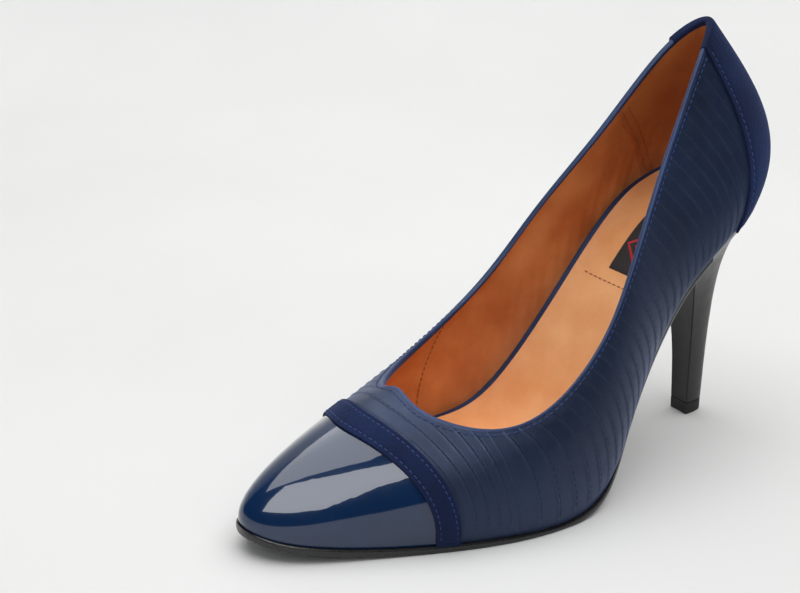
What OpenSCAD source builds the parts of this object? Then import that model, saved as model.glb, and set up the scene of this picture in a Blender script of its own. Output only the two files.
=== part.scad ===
// High heel pump, left shoe. Toe towards -Y, heel towards +Y, outer side of the foot towards +X.
// The upper is one smooth skin, addressed by t and v. t runs once round the shoe, from the toe (0)
// along the outer side to the back of the heel (8) and home along the inner side (16). v rises from
// the feather line, where the upper meets the sole (0), to the topline, where the foot goes in (1).

/* [Shoe] */
// Thickness of the outsole
sole_t = 2.8; // [2:0.1:3.2]
// How far the edge of the outsole stands out past the upper
sole_edge = 1.2; // [0.6:0.1:2.2]
// Width of the suede band behind the toe cap, along the centre
band_w = 9.5; // [7:0.5:13]
// Height of the replaceable top piece under the heel
top_piece_h = 5; // [4:0.5:6]

/* [Leather] */
// Thickness of the outer leather
leather_t = 1; // [0.8:0.1:1.1]
// Thickness of the lining leather
lining_t = 0.8; // [0.6:0.1:0.9]
// Thickness of the suede band and of the suede counter cover
suede_t = 0.8; // [0.6:0.1:1.2]

/* [Hardware] */
// Outer diameter of the steel tube up the heel
dowel_d = 4.2; // [3.8:0.1:4.6]
// Diameter of the pin of the top piece
pin_d = 2.5; // [2.3:0.1:2.8]
// Length of the pin above the top piece
pin_len = 14; // [10:1:18]
// Diameter of the heel nails
nail_d = 1.6; // [1.4:0.1:1.8]

/* [Hidden] */
$fn = 48;

// Centre of the shoe's box in plan, moved to the origin
box_centre = [1.8, 2.3];
// Gap between two hidden layers that lie on each other
gap = 0.1;

// Control nets of the skin. A row is [outer half width, inner half width, y, z], from toe to heel.
feather_rows = [[-2, 2, -111, 11.5], [14.5, 12.5, -102.5, 7], [31, 29.5, -62, 2],
    [45.5, 41.5, -27.5, 3], [45.5, 36.5, 10.5, 0], [30.5, 27.5, 33.5, 33.5],
    [26.5, 25.5, 59, 72.5], [31.5, 30.5, 82, 87], [0, 0, 126.5, 107]];
lower_rows = [[-2, 2, -116, 25.5], [16.5, 14.5, -101, 21], [35, 33.5, -62.5, 16],
    [49.5, 46.5, -27.5, 17.5], [48.5, 41.5, 10.5, 16.5], [36, 33, 34, 51.5],
    [29, 28, 58.5, 90], [37.5, 36.5, 89, 104.5], [0, 0, 132.5, 124]];
upper_rows = [[-2, 2, -84, 36.5], [20, 20, -62, 36.5], [38, 38, -45, 28],
    [46, 45.5, -16, 32], [42.5, 43, 12.5, 45.5], [33, 33.5, 32.5, 68],
    [24.5, 24, 55, 96], [21.5, 22.5, 88.5, 125.5], [0, 0, 107, 142.5]];
topline_rows = [[-1, 1, -46.5, 46.1], [14.4, 7, -51.7, 42.4], [34.8, 27.7, -34.3, 36.9],
    [38.7, 38.4, -12.2, 39.8], [35, 36, 15.5, 59.5], [28.5, 29.5, 32.5, 87],
    [18, 18, 52.5, 115], [9.5, 10.5, 75.5, 149.5], [0, 0, 90, 158]];

// Once round the shoe, and the places along it where panels meet
turn = 16;
back_t = 8;
inner_seam_t = 12.1;   // vamp to inner quarter, at the waist
cover_t = 6.8;         // front edge of the counter cover at the feather line
cover_lean = 0.3;      // how far that edge leans back on its way up
quarter_end_t = 7.35;  // quarters end here, under the cover
lining_seam_t = 3.3;   // vamp lining to quarter linings
grip_t = 6.9;          // quarter lining to heel grip at the feather line
grip_lean = -0.7;      // how far that seam leans forward on its way up

// Under the waist the outsole is trimmed back this far inside the feather line
waist_edge = -0.8;
// Outsole ends, and the heel starts, at this t
breast_t = 6.42;
// Heights of the hidden layers above the feather line, measured square to the sole
board_low = 1.4;
board_t = 1.2;
shank_board_low = board_low + board_t + 0.05;
shank_board_t = 1;
pad_low = shank_board_low + shank_board_t + 0.05;
pad_top = 5.1;
sock_low = pad_top + 0.05;
sock_t = 0.8;

// Heel sections below the seat: [front y, front z, back y, back z, half width]
heel_rows = [[71, 72.5, 106.5, 89, 21], [75, 64.5, 100.6, 77, 14.2],
    [78.5, 56, 97.2, 65, 10], [81.2, 46.5, 95.7, 53, 7.5], [82.8, 36, 95, 40, 6],
    [83.7, 25, 94.6, 27, 5.1], [84.2, 14, 94.4, 15, 4.7]];
tip_front = 84.5;
tip_back = 94.2;
tip_half = 4.5;
dowel_y = 89.4;
dowel_top = 62;
screw_y = 91;
nail_spots = [[0, 100.5], [15, 80], [-15, 80], [12, 95], [-12, 95]];

function unit(p) = p / norm(p);

// One closed net from its rows
function net(rows) = concat([for (r = rows) [r[0], r[2], r[3]]],
    [for (k = [len(rows) - 2 : -1 : 1]) [-rows[k][1], rows[k][2], rows[k][3]]]);
feather_net = net(feather_rows);
lower_net = net(lower_rows);
upper_net = net(upper_rows);
topline_net = net(topline_rows);

// Uniform cubic B-spline round a closed net
function spline(p, t) = let (i = floor(t), f = t - i, g = 1 - f, n = len(p))
    (g * g * g * p[(i - 1 + 2 * n) % n] + (3 * f * f * f - 6 * f * f + 4) * p[(i + 2 * n) % n]
    + (3 * g * g * g - 6 * g * g + 4) * p[(i + 1 + 2 * n) % n]
    + f * f * f * p[(i + 2 + 2 * n) % n]) / 6;

// A point of the skin
function skin(t, v) = let (w = 1 - v)
    w * w * w * spline(feather_net, t) + 3 * w * w * v * spline(lower_net, t)
    + 3 * w * v * v * spline(upper_net, t) + v * v * v * spline(topline_net, t);

// Direction up the skin, and direction straight out of it
step = 0.01;
function rise(t, v) = unit(skin(t, v + step) - skin(t, v - step));
function out(t, v) = unit(cross(skin(t + step, v) - skin(t - step, v),
    skin(t, v + step) - skin(t, v - step)));
// A point d inside the skin (negative d is outside)
function inside(t, v, d) = skin(t, v) - d * out(t, v);

// Cross-lines over the vamp. All points of a line share the same lag behind the toe cap's edge.
cap_edge = -67;
nose_r = 8;
side_lag = 0.46;       // the lines fall back by this share of the way out to the side
side_pinch = 0.017;    // the lines draw together by this share per millimetre to the side
function lag(p) = let (a = sqrt(p[0] * p[0] + nose_r * nose_r) - nose_r)
    (p[1] - cap_edge - side_lag * a + 0.12 * p[2]) * (1 + side_pinch * a);
// Height v at which a cross-line meets the rib of the skin at t (0 where it has run out)
function find_v(t, target, lo = 0, hi = 1, n = 14) = n == 0 ? (lo + hi) / 2 :
    let (m = (lo + hi) / 2)
    lag(skin(t, m)) < target ? find_v(t, target, m, hi, n - 1) : find_v(t, target, lo, m, n - 1);
function line_v(t, target) = lag(skin(t, 0)) >= target ? 0 : find_v(t, target);
// t at which a cross-line runs off the feather line, on one side (1 outer, -1 inner)
function find_t(side, target, lo = 0, hi = 4, n = 16) = n == 0 ? side * (lo + hi) / 2 :
    let (m = (lo + hi) / 2)
    lag(skin(side * m, 0)) < target ? find_t(side, target, m, hi, n - 1)
    : find_t(side, target, lo, m, n - 1);

// Closed solid through a list of rings; each ring's caps pair its first half with its second
module loft(rings, closed = false) {
    n = len(rings);
    m = len(rings[0]);
    last = closed ? n - 1 : n - 2;
    points = [for (r = rings) for (p = r) p];
    sides = [for (i = [0 : last]) for (k = [0 : m - 1])
        let (a = i * m + k, b = i * m + (k + 1) % m, c = (i + 1) % n * m + (k + 1) % m,
            d = (i + 1) % n * m + k) each [[a, b, c], [a, c, d]]];
    caps = closed ? [] : [for (k = [0 : m / 2 - 2])
        let (a = k, b = k + 1, c = m - 2 - k, d = m - 1 - k, e = (n - 1) * m)
        each [[a, d, c], [a, c, b], [e + a, e + b, e + c], [e + a, e + c, e + d]]];
    polyhedron(points, concat(sides, caps), convexity = 8);
}

// Ribs from t0 to t1: both ends, and between them the ribs that every panel shares
rib = 0.125;
function ribs(t0, t1, every = rib) = concat([t0],
    [for (k = [ceil((t0 + every / 4) / every) : floor((t1 - every / 4) / every)]) k * every], [t1]);
fine = rib / 2;
// Panel of the upper along a list of ribs, from v = low(t) to high(t), between two depths
module panel(ts, rows, low, high, outer, inner) {
    loft([for (t = ts) let (a = low(t), b = high(t))
        concat([for (j = [0 : rows]) let (v = a + (b - a) * j / rows) inside(t, v, outer(v))],
            [for (j = [rows : -1 : 0]) let (v = a + (b - a) * j / rows) inside(t, v, inner(v))])]);
}

// Panel whose two ends lean: at height v it runs from start(v) to end(v)
module leaning_panel(start, end, columns, rows, top, outer, inner) {
    loft([for (i = [0 : columns])
        concat([for (j = [0 : rows]) let (v = top * j / rows,
                t = start(v) + (end(v) - start(v)) * i / columns) inside(t, v, outer(v))],
            [for (j = [rows : -1 : 0]) let (v = top * j / rows,
                t = start(v) + (end(v) - start(v)) * i / columns) inside(t, v, inner(v))])]);
}

// The lining lies close behind the leather at the topline and leaves room for the stiffeners below
function ease(x) = let (c = min(1, max(0, x))) c * c * (3 - 2 * c);
function lining_depth(v) = leather_t + gap + 1.3 * (1 - ease((v - 0.6) / 0.35));

// Sole profile in the Y-Z plane, raised d square to the sole, from its own point t
function side_point(t, d) = let (p = spline(feather_net, t), q = spline(feather_net, t + step),
    n = unit([p[2] - q[2], q[1] - p[1]])) [p[1] + d * n[0], p[2] + d * n[1]];
profile_ts = [for (i = [0 : 36]) 0.4 + 0.2 * i];
reach = 12;
function band_edge(d) = let (c = [for (t = profile_ts) side_point(t, d)], n = len(c))
    concat([c[0] + reach * unit(c[0] - c[1])], c, [c[n - 1] + reach * unit(c[n - 1] - c[n - 2])]);
// Plan outline of the feather line, moved in by d
function plan_point(t, d) = let (p = spline(feather_net, t), q = spline(feather_net, t + step),
    n = unit([q[1] - p[1], p[0] - q[0]])) [p[0] - d * n[0], p[1] - d * n[1]];
function outline(d, count = 64) = [for (i = [0 : count - 1]) plan_point(turn * i / count, d)];

wide = 60;
tall = 130;
// Extrudes a Y-Z shape across the shoe
module across() {
    rotate([90, 0, 90]) linear_extrude(2 * wide, center = true) children();
}
// How far the outsole stands out (+) or in (-) of the feather line at a place on its outline
function edge_at(t) = let (side = min(t, turn - t)) sole_edge + (waist_edge - sole_edge) * ease(side - 3.9);
function sole_outline(count = 96) = [for (i = [0 : count - 1])
    let (t = turn * i / count) plan_point(t, -edge_at(t))];
// Everything between two depths square to the sole
module layer(low, high) {
    edge = band_edge(high);
    under = band_edge(low);
    across() polygon(concat(edge, [for (i = [len(under) - 1 : -1 : 0]) under[i]]));
}
// Upright prism over a plan shape
module upright() {
    translate([0, 0, -10]) linear_extrude(tall) children();
}
// Part of a plan between two places along the shoe
module from_to(y0, y1) {
    intersection() {
        children();
        translate([-wide, y0]) square([2 * wide, y1 - y0]);
    }
}
module at_origin() {
    translate([-box_centre[0], -box_centre[1], 0]) children();
}

// ---- Sole ----
breast_y = side_point(breast_t, 0)[0];

module outsole() color("#1c1a1c") at_origin() intersection() {
    upright() from_to(-130, breast_y) polygon(sole_outline());
    layer(-sole_t, 0);
    // tread: the forefoot is flat on the ground
    translate([-wide, -130, 0]) cube([2 * wide, 260, tall]);
}

module bottom_filler() color("#8a7558") at_origin() intersection() {
    upright() polygon(concat([for (t = [1.3 : 0.3 : 4]) plan_point(t, 9)],
        [for (t = [12 : 0.3 : 14.7]) plan_point(t, 9)]));
    layer(0.05, board_low - 0.05);
}

shank_half = 6;
shank_ends = [12, 95];
rivet_d = 3;
rivet_ts = [4.75, 5.35];
screw_d = 3.6;
module shank() color("#7d8187") at_origin() difference() {
    intersection() {
        upright() translate([-shank_half, shank_ends[0]])
            square([2 * shank_half, shank_ends[1] - shank_ends[0]]);
        layer(gap, board_low - gap);
    }
    rivets(rivet_d);
    screw_hole();
}

// Rod square to the sole at a point of its profile
module rivets(d, low = gap, high = 4) {
    for (t = rivet_ts) {
        p = side_point(t, low);
        q = side_point(t, high);
        translate([0, p[0], p[1]]) rotate([atan2(p[0] - q[0], q[1] - p[1]), 0, 0])
            cylinder(d = d, h = high - low);
    }
}
module shank_rivets() color("#b08d4a") at_origin() rivets(rivet_d, gap, shank_board_low + shank_board_t);

module insole_board() color("#a98b62") at_origin() difference() {
    intersection() {
        upright() polygon(outline(3.5));
        layer(board_low, board_low + board_t);
    }
    rivets(rivet_d);
    screw_hole();
    nail_holes();
}
module shank_board() color("#6f5a45") at_origin() difference() {
    intersection() {
        upright() from_to(-26, 130) polygon(outline(4));
        layer(shank_board_low, shank_board_low + shank_board_t);
    }
    rivets(rivet_d);
    screw_hole();
    nail_holes();
}
module insole_rim() color("#20264a") at_origin() difference() {
    intersection() {
        upright() from_to(-25, 130) polygon(outline(3.6));
        layer(pad_low, pad_top);
    }
    upright() from_to(-40, 98) polygon(outline(9));
}
// Clearance for the heel screw and its sunk head
module screw_hole() {
    fixing(screw_y, screw_d, 0, tall);
    fixing(screw_y, head_d + 2 * gap, head_z, tall);
}
module ball_pad() color("#d8c9a6") at_origin() intersection() {
    upright() from_to(-88, -28) polygon(outline(6));
    layer(board_low + board_t + 0.05, pad_top);
}
module heel_pad() color("#d8c9a6") at_origin() difference() {
    intersection() {
        upright() from_to(58, 97) polygon(outline(9.3));
        layer(pad_low, pad_top);
    }
    screw_hole();
}
module sock() color("#d98a4b") at_origin() intersection() {
    upright() polygon(outline(6.5));
    layer(sock_low, sock_low + sock_t);
}
module sock_label() color("#151316") at_origin() intersection() {
    upright() translate([-5, 49]) square([20, 36]);
    layer(sock_low + sock_t, sock_low + sock_t + 0.3);
}

// ---- Heel ----
screw_low = 66;
head_d = 7;
head_t = 1.4;
head_z = seat_z(screw_y) + 1.7;
nail_depth = 11;       // nails reach this far into the heel, and out above the seat by nail_above
nail_above = 3.4;
pin_low = 1.6;         // the pin starts this high inside the top piece
pin_slack = 0.06;      // running clearance of the pin in its tube, on the diameter
// Upright rod of diameter d at the centre of the shoe
module fixing(y, d, z0, z1) {
    translate([0, y, z0]) cylinder(d = d, h = z1 - z0);
}
seat_fan = 12;
// Half-outline from the front corner to the back: the seat follows the feather line
function seat_half(side) = [for (i = [0 : seat_fan])
    let (t = back_t + side * (back_t - breast_t) * (i / seat_fan - 1), p = spline(feather_net, t),
        q = plan_point(t, 0.3)) [q[0], q[1], p[2] - 0.1]];
function flip(p) = [for (i = [len(p) - 1 : -1 : 0]) p[i]];
// Section with a flat front, soft corners and a round back
corner = [0.55, 0.9];
function section_half(r, side) = [for (i = [0 : seat_fan]) let (a = 90 * i / seat_fan,
    u = pow(sin(a), corner[1])) [side * r[4] * pow(cos(a), corner[0]), r[0] + (r[2] - r[0]) * u,
    r[1] + (r[3] - r[1]) * u]];
function heel_ring(r) = concat(section_half(r, 1), flip(section_half(r, -1)));
seat_ring = concat(seat_half(1), flip(seat_half(-1)));
tip_row = [tip_front, top_piece_h + 0.05, tip_back, top_piece_h + 0.05, tip_half];

module heel_block() color("#2b2b2f") at_origin() difference() {
    loft(concat([heel_ring(tip_row)], [for (i = [len(heel_rows) - 1 : -1 : 0]) heel_ring(heel_rows[i])],
        [seat_ring]));
    fixing(dowel_y, dowel_d, 0, dowel_top);
    fixing(screw_y, screw_d, screw_low, 110);
    nail_holes();
}
function seat_z(y) = lookup(y, [for (t = [breast_t - 0.4 : 0.1 : back_t]) let (p = side_point(t, 0)) p]);
module nail_holes() {
    for (s = nail_spots)
        translate([s[0], s[1], seat_z(s[1]) - nail_depth]) cylinder(d = nail_d, h = 2 * nail_depth);
}
module heel_dowel() color("#9ea3a8") at_origin() difference() {
    fixing(dowel_y, dowel_d, top_piece_h + 0.6, dowel_top);
    fixing(dowel_y, pin_d + pin_slack, 0, tall);
}
module top_piece() color("#121214") at_origin() difference() {
    intersection() {
        loft([heel_ring([tip_front + 0.15, 0, tip_back - 0.1, 0, tip_half - 0.1]),
            heel_ring([tip_front, top_piece_h, tip_back, top_piece_h, tip_half])]);
        cube([2 * wide, 4 * wide, 2 * top_piece_h], center = true);
    }
    fixing(dowel_y, pin_d, pin_low, tall);
}
module top_piece_pin() color("#9ea3a8") at_origin()
    fixing(dowel_y, pin_d, pin_low, top_piece_h + pin_len);
module heel_screw() color("#8f9398") at_origin() {
    fixing(screw_y, screw_d, screw_low, head_z + 0.5);
    fixing(screw_y, head_d, head_z, head_z + head_t);
}
module heel_nails() color("#8f9398") at_origin() for (s = nail_spots) {
    z = seat_z(s[1]);
    translate([s[0], s[1], z - nail_depth]) cylinder(d = nail_d, h = nail_depth + nail_above);
}

// ---- Upper ----
cap_under = 4.8;
outside = function (v) 0;
suede_out = function (v) -(suede_t + 0.3);
suede_in = function (v) -0.3;
leather_in = function (v) leather_t;
lining_out = function (v) lining_depth(v);
lining_in = function (v) lining_depth(v) + lining_t;
floor_v = function (t) 0;
top_v = function (t) 1;

join = 0.5;            // gap between the toe cap and the vamp, under the band
least_v = 0.02;        // least height of a panel where it runs out at the feather line
cap_ends = [find_t(-1, cap_under), find_t(1, cap_under)];
module toe_cap() color("#122a52") at_origin()
    panel(ribs(cap_ends[0], cap_ends[1], fine), 10, floor_v,
        function (t) max(least_v, line_v(t, cap_under)), outside, leather_in);

band_ends = [find_t(-1, band_w), find_t(1, band_w)];
front_ends = [find_t(-1, 0), find_t(1, 0)];
function but_last(p) = [for (i = [0 : len(p) - 2]) p[i]];
module suede_band() color("#1b2c5c") at_origin()
    panel(concat(but_last(ribs(band_ends[0], front_ends[0], fine)),
        but_last(ribs(front_ends[0], front_ends[1], fine)), ribs(front_ends[1], band_ends[1], fine)),
        4, function (t) max(least_v / 2, line_v(t, 0)),
        function (t) max(least_v * 2, line_v(t, band_w)), suede_out, suede_in);

vamp_ends = [find_t(-1, cap_under + join), find_t(1, cap_under + join)];
// Vamp and outer quarter are one piece, from the inner waist seam round the toe to the back
module vamp() color("#26355c") at_origin()
    panel(concat(but_last(ribs(inner_seam_t - turn, vamp_ends[0])),
        but_last(ribs(vamp_ends[0], vamp_ends[1], fine)), ribs(vamp_ends[1], quarter_end_t)), 8,
        function (t) t < 4 ? line_v(t, cap_under + join) : 0, top_v, outside, leather_in);
module inner_quarter() color("#26355c") at_origin()
    panel(ribs(turn - quarter_end_t, inner_seam_t - 0.02), 8, floor_v, top_v, outside, leather_in);
module counter_cover() color("#1a2f6b") at_origin()
    leaning_panel(function (v) cover_t + cover_lean * v, function (v) turn - cover_t - cover_lean * v,
        24, 10, 1, suede_out, suede_in);

stiffener_out = function (v) leather_t + 0.3;
stiffener_in = function (v) leather_t + 1;
module toe_puff() color("#c9bfa8") at_origin()
    panel(ribs(-1.875, 1.875), 6, function (t) 0.03, function (t) max(0.08, min(0.56, line_v(t, 0))),
        stiffener_out, stiffener_in);
module heel_counter() color("#b9a88c") at_origin()
    panel(ribs(6, 10), 6, function (t) 0.03, function (t) 0.56 - 0.25 * pow(abs(t - back_t) / 2, 2),
        stiffener_out, stiffener_in);

module vamp_lining() color("#c9783c") at_origin()
    panel(ribs(-lining_seam_t, lining_seam_t), 8, floor_v, top_v, lining_out, lining_in);
function grip_seam(v) = grip_t + grip_lean * v;
module outer_quarter_lining() color("#c9783c") at_origin()
    leaning_panel(function (v) lining_seam_t + 0.02, function (v) grip_seam(v) - 0.02, 26, 8, 1,
        lining_out, lining_in);
module inner_quarter_lining() color("#c9783c") at_origin()
    leaning_panel(function (v) turn - grip_seam(v) + 0.02, function (v) turn - lining_seam_t - 0.02, 26, 8,
        1, lining_out, lining_in);
module heel_grip() color("#b86d35") at_origin()
    leaning_panel(function (v) grip_seam(v), function (v) turn - grip_seam(v), 24, 8, 1,
        lining_out, lining_in);

// Folded binding that caps the leather and the lining all along the topline
binding_section = [[0.1, 0.1], [0.1, 0.8], [-0.5, 1.3], [-1.6, 1.3], [-2.1, 0.8], [-2.1, 0.1]];
module topline_binding() color("#4d68a8") at_origin()
    loft([for (i = [0 : 95]) let (t = turn * i / 96, p = skin(t, 1), o = out(t, 1), u = rise(t, 1))
        [for (s = binding_section) p + s[0] * o + s[1] * u]], closed = true);

outsole();
heel_block();
heel_dowel();
top_piece();
top_piece_pin();
heel_screw();
heel_nails();
shank();
shank_rivets();
insole_board();
shank_board();
bottom_filler();
insole_rim();
ball_pad();
heel_pad();
sock();
sock_label();
toe_cap();
suede_band();
vamp();
inner_quarter();
counter_cover();
toe_puff();
heel_counter();
vamp_lining();
outer_quarter_lining();
inner_quarter_lining();
heel_grip();
topline_binding();
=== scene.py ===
# %% [markdown]
# # A high heel pump
#
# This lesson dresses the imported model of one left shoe. The model is the fixed frame: toe towards -Y,
# heel towards +Y, outer side of the foot towards +X, ground at z = 0. Every layer of the upper is cut
# from one smooth skin, so the first step is to write that skin down as functions.

# %% Load the frame
import math
import bmesh
import bpy
import numpy as np
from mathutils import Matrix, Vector


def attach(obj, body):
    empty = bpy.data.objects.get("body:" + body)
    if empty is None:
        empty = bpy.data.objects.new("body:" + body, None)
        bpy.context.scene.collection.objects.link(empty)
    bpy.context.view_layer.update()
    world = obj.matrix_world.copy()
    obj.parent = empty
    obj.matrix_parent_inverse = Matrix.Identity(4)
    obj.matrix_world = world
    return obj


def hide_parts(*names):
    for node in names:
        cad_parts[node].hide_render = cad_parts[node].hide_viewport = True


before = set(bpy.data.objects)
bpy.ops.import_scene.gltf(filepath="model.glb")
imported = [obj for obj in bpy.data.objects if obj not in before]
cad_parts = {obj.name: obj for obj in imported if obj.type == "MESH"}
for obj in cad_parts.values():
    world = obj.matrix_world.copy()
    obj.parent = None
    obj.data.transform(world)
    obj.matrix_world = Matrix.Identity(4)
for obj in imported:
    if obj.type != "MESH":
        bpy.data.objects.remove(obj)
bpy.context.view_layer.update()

# %% [markdown]
# ## The last
#
# A shoemaker pulls the upper over a last. Four closed lines describe ours: the feather line, where upper
# meets sole, two lines up the side, and the topline. Each is a smooth closed spline through 16 control
# points. A point of the skin has two addresses: t runs once round the shoe (0 toe, 8 back, 16 toe again,
# outer side first), and v rises from the feather line (0) to the topline (1).

# %% Control lines, in millimetres: outer half width, inner half width, y, z, from toe to heel
MM = 0.001
CENTRE = np.array([1.8, 2.3, 0.0])
TURN = 16
FEATHER_ROWS = [[-2, 2, -111, 11.5], [14.5, 12.5, -102.5, 7], [31, 29.5, -62, 2],
                [45.5, 41.5, -27.5, 3], [45.5, 36.5, 10.5, 0], [30.5, 27.5, 33.5, 33.5],
                [26.5, 25.5, 59, 72.5], [31.5, 30.5, 82, 87], [0, 0, 126.5, 107]]
LOWER_ROWS = [[-2, 2, -116, 25.5], [16.5, 14.5, -101, 21], [35, 33.5, -62.5, 16],
              [49.5, 46.5, -27.5, 17.5], [48.5, 41.5, 10.5, 16.5], [36, 33, 34, 51.5],
              [29, 28, 58.5, 90], [37.5, 36.5, 89, 104.5], [0, 0, 132.5, 124]]
UPPER_ROWS = [[-2, 2, -84, 36.5], [20, 20, -62, 36.5], [38, 38, -45, 28],
              [46, 45.5, -16, 32], [42.5, 43, 12.5, 45.5], [33, 33.5, 32.5, 68],
              [24.5, 24, 55, 96], [21.5, 22.5, 88.5, 125.5], [0, 0, 107, 142.5]]
TOPLINE_ROWS = [[-1, 1, -46.5, 46.1], [14.4, 7, -51.7, 42.4], [34.8, 27.7, -34.3, 36.9],
                [38.7, 38.4, -12.2, 39.8], [35, 36, 15.5, 59.5], [28.5, 29.5, 32.5, 87],
                [18, 18, 52.5, 115], [9.5, 10.5, 75.5, 149.5], [0, 0, 90, 158]]


def closed_net(rows):
    """Control points once round the shoe: outer side towards the heel, inner side back to the toe."""
    outer = [[r[0], r[2], r[3]] for r in rows]
    inner = [[-r[1], r[2], r[3]] for r in rows[-2:0:-1]]
    return np.array(outer + inner, float)


FEATHER = closed_net(FEATHER_ROWS)
LOWER = closed_net(LOWER_ROWS)
UPPER = closed_net(UPPER_ROWS)
TOPLINE = closed_net(TOPLINE_ROWS)
print("control points on each line:", len(FEATHER))


# %% Points of the skin
def spline(points, t):
    """Uniform cubic B-spline round a closed net."""
    t = np.asarray(t, float)
    i = np.floor(t).astype(int)
    f = (t - i)[..., None]
    g = 1 - f

    def near(k):
        return points[(i + k) % TURN]

    return (g**3 * near(-1) + (3 * f**3 - 6 * f**2 + 4) * near(0)
            + (3 * g**3 - 6 * g**2 + 4) * near(1) + f**3 * near(2)) / 6


def skin(t, v):
    """A point of the last's skin."""
    t, v = np.broadcast_arrays(np.asarray(t, float), np.asarray(v, float))
    w = (1 - v)[..., None]
    u = v[..., None]
    return (w**3 * spline(FEATHER, t) + 3 * w * w * u * spline(LOWER, t)
            + 3 * w * u * u * spline(UPPER, t) + u**3 * spline(TOPLINE, t))


print("topline at the back, mm:", skin(8.0, 1.0).round(1))

# %% [markdown]
# ### Directions and layers
#
# A shoe is built in layers, and each one lies a set depth under the face of the last. So two directions are
# needed at every point: straight out of the skin, and up along it. Both come from small steps to either
# side, which is simpler than a formula for the slope and exact enough for leather.


# %% Directions, and points of a layer
def unit(p):
    """The same directions, each one long."""
    return p / np.maximum(np.linalg.norm(p, axis=-1, keepdims=True), 1e-9)


STEP = 0.01


def outward(t, v):
    """Direction straight out of the skin."""
    t, v = np.broadcast_arrays(np.asarray(t, float), np.asarray(v, float))
    along = skin(t + STEP, v) - skin(t - STEP, v)
    up = skin(t, v + STEP) - skin(t, v - STEP)
    return unit(np.cross(along, up))


def upward(t, v):
    """Direction up the skin."""
    return unit(skin(t, np.asarray(v) + STEP) - skin(t, np.asarray(v) - STEP))


def layer_point(t, v, depth):
    """A point that lies depth millimetres inside the skin (negative is outside)."""
    return skin(t, v) - np.asarray(depth, float)[..., None] * outward(t, v)


def ease(x):
    """Soft step from 0 to 1."""
    c = np.clip(x, 0, 1)
    return c * c * (3 - 2 * c)


print("the skin faces", outward(0.0, 0.5).round(2), "at the toe")

# %% [markdown]
# ## Making meshes
#
# Every piece of leather is a thin plate with two faces and a turned edge. A solidify modifier would give
# the thickness but leave the edge square. So one function builds such a plate from a grid of points on each
# face: it adds a few rows round the border that follow a half circle, and closes them on a shared line, so
# that a cut edge catches the light as real leather does.

# %% A piece from its points and faces
BODY = "shoe"
SHARP = 50          # degrees between two faces that still look like one
WELD_MM = 0.002     # points closer than this are one point


def add_piece(name, points, faces, material, body=BODY, smooth_angle=SHARP):
    """Makes an object from points in millimetres on the last, and lets it ride on its body."""
    mesh = bpy.data.meshes.new(name)
    mesh.from_pydata(((np.asarray(points) - CENTRE) * MM).tolist(), [], [list(map(int, f)) for f in faces])
    mesh.validate()
    mesh.materials.append(material)
    mesh.shade_smooth()
    piece = bpy.data.objects.new(name, mesh)
    bpy.context.scene.collection.objects.link(piece)
    if smooth_angle:
        mesh.set_sharp_from_angle(angle=math.radians(smooth_angle))
    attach(piece, body)
    return piece


def weld(piece):
    """Joins points that lie on each other and turns every face outwards."""
    work = bmesh.new()
    work.from_mesh(piece.data)
    bmesh.ops.remove_doubles(work, verts=work.verts, dist=WELD_MM * MM)
    bmesh.ops.recalc_face_normals(work, faces=work.faces)
    work.to_mesh(piece.data)
    work.free()
    piece.data.shade_smooth()
    piece.data.set_sharp_from_angle(angle=math.radians(SHARP))
    return piece


def grid_faces(rows, columns, start=0, flip=False):
    """Four-sided faces over a grid of points numbered row by row."""
    a = (np.arange(rows - 1)[:, None] * columns + np.arange(columns - 1)[None]).ravel() + start
    quads = np.stack([a, a + columns, a + columns + 1, a + 1], 1)
    return quads[:, ::-1] if flip else quads


print("meshes stand", [round(c, 1) for c in CENTRE[:2]], "mm from the middle of the last")

# %% A plate with a half round border
EDGE_STEPS = [0.35, 0.7, 1.0]   # places of the added rows on the quarter turn to the shared line


def rounded_border(front, back, edge):
    """Adds rows at both ends of two facing grids so that they close on a half round edge."""
    def end(middle, out_dir, half):
        rows_a, rows_b = [], []
        for s in EDGE_STEPS:
            angle = s * math.pi / 2
            centre = middle + out_dir * edge * math.sin(angle)
            rows_a.append(centre + half * math.cos(angle))
            rows_b.append(centre - half * math.cos(angle))
        return rows_a, rows_b
    middle = (front + back) / 2
    half = (front - back) / 2
    a0, b0 = end(middle[0], unit(middle[0] - middle[1]), half[0])
    a1, b1 = end(middle[-1], unit(middle[-1] - middle[-2]), half[-1])
    return (np.concatenate([np.array(a0[::-1]), front, np.array(a1)]),
            np.concatenate([np.array(b0[::-1]), back, np.array(b1)]))


def plate(front, back, edge, ends=True):
    """Closed thin solid between two facing grids (rows, columns, 3). Returns its points and faces."""
    if ends:
        front, back = rounded_border(front, back, edge)
    front, back = rounded_border(front.swapaxes(0, 1), back.swapaxes(0, 1), edge)
    front, back = front.swapaxes(0, 1), back.swapaxes(0, 1)
    rows, columns = front.shape[:2]
    count = rows * columns
    points = np.concatenate([front.reshape(-1, 3), back.reshape(-1, 3)])
    faces = [grid_faces(rows, columns), grid_faces(rows, columns, count, flip=True)]
    ring = ([(0, j) for j in range(columns)] + [(i, columns - 1) for i in range(1, rows)]
            + [(rows - 1, j) for j in range(columns - 2, -1, -1)]
            + [(i, 0) for i in range(rows - 2, 0, -1)])
    ids = np.array([i * columns + j for i, j in ring])
    nxt = np.roll(ids, -1)
    faces.append(np.stack([ids, nxt, nxt + count, ids + count], 1))
    return points, np.concatenate(faces)


def plate_piece(name, t, v, front_depth, back_depth, material, edge=0.3):
    """A plate of the upper, from a grid of addresses t, v and the depths of its two faces."""
    points, faces = plate(layer_point(t, v, front_depth), layer_point(t, v, back_depth), edge)
    return weld(add_piece(name, points, faces, material))


print("rows added round each border:", len(EDGE_STEPS))

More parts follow.
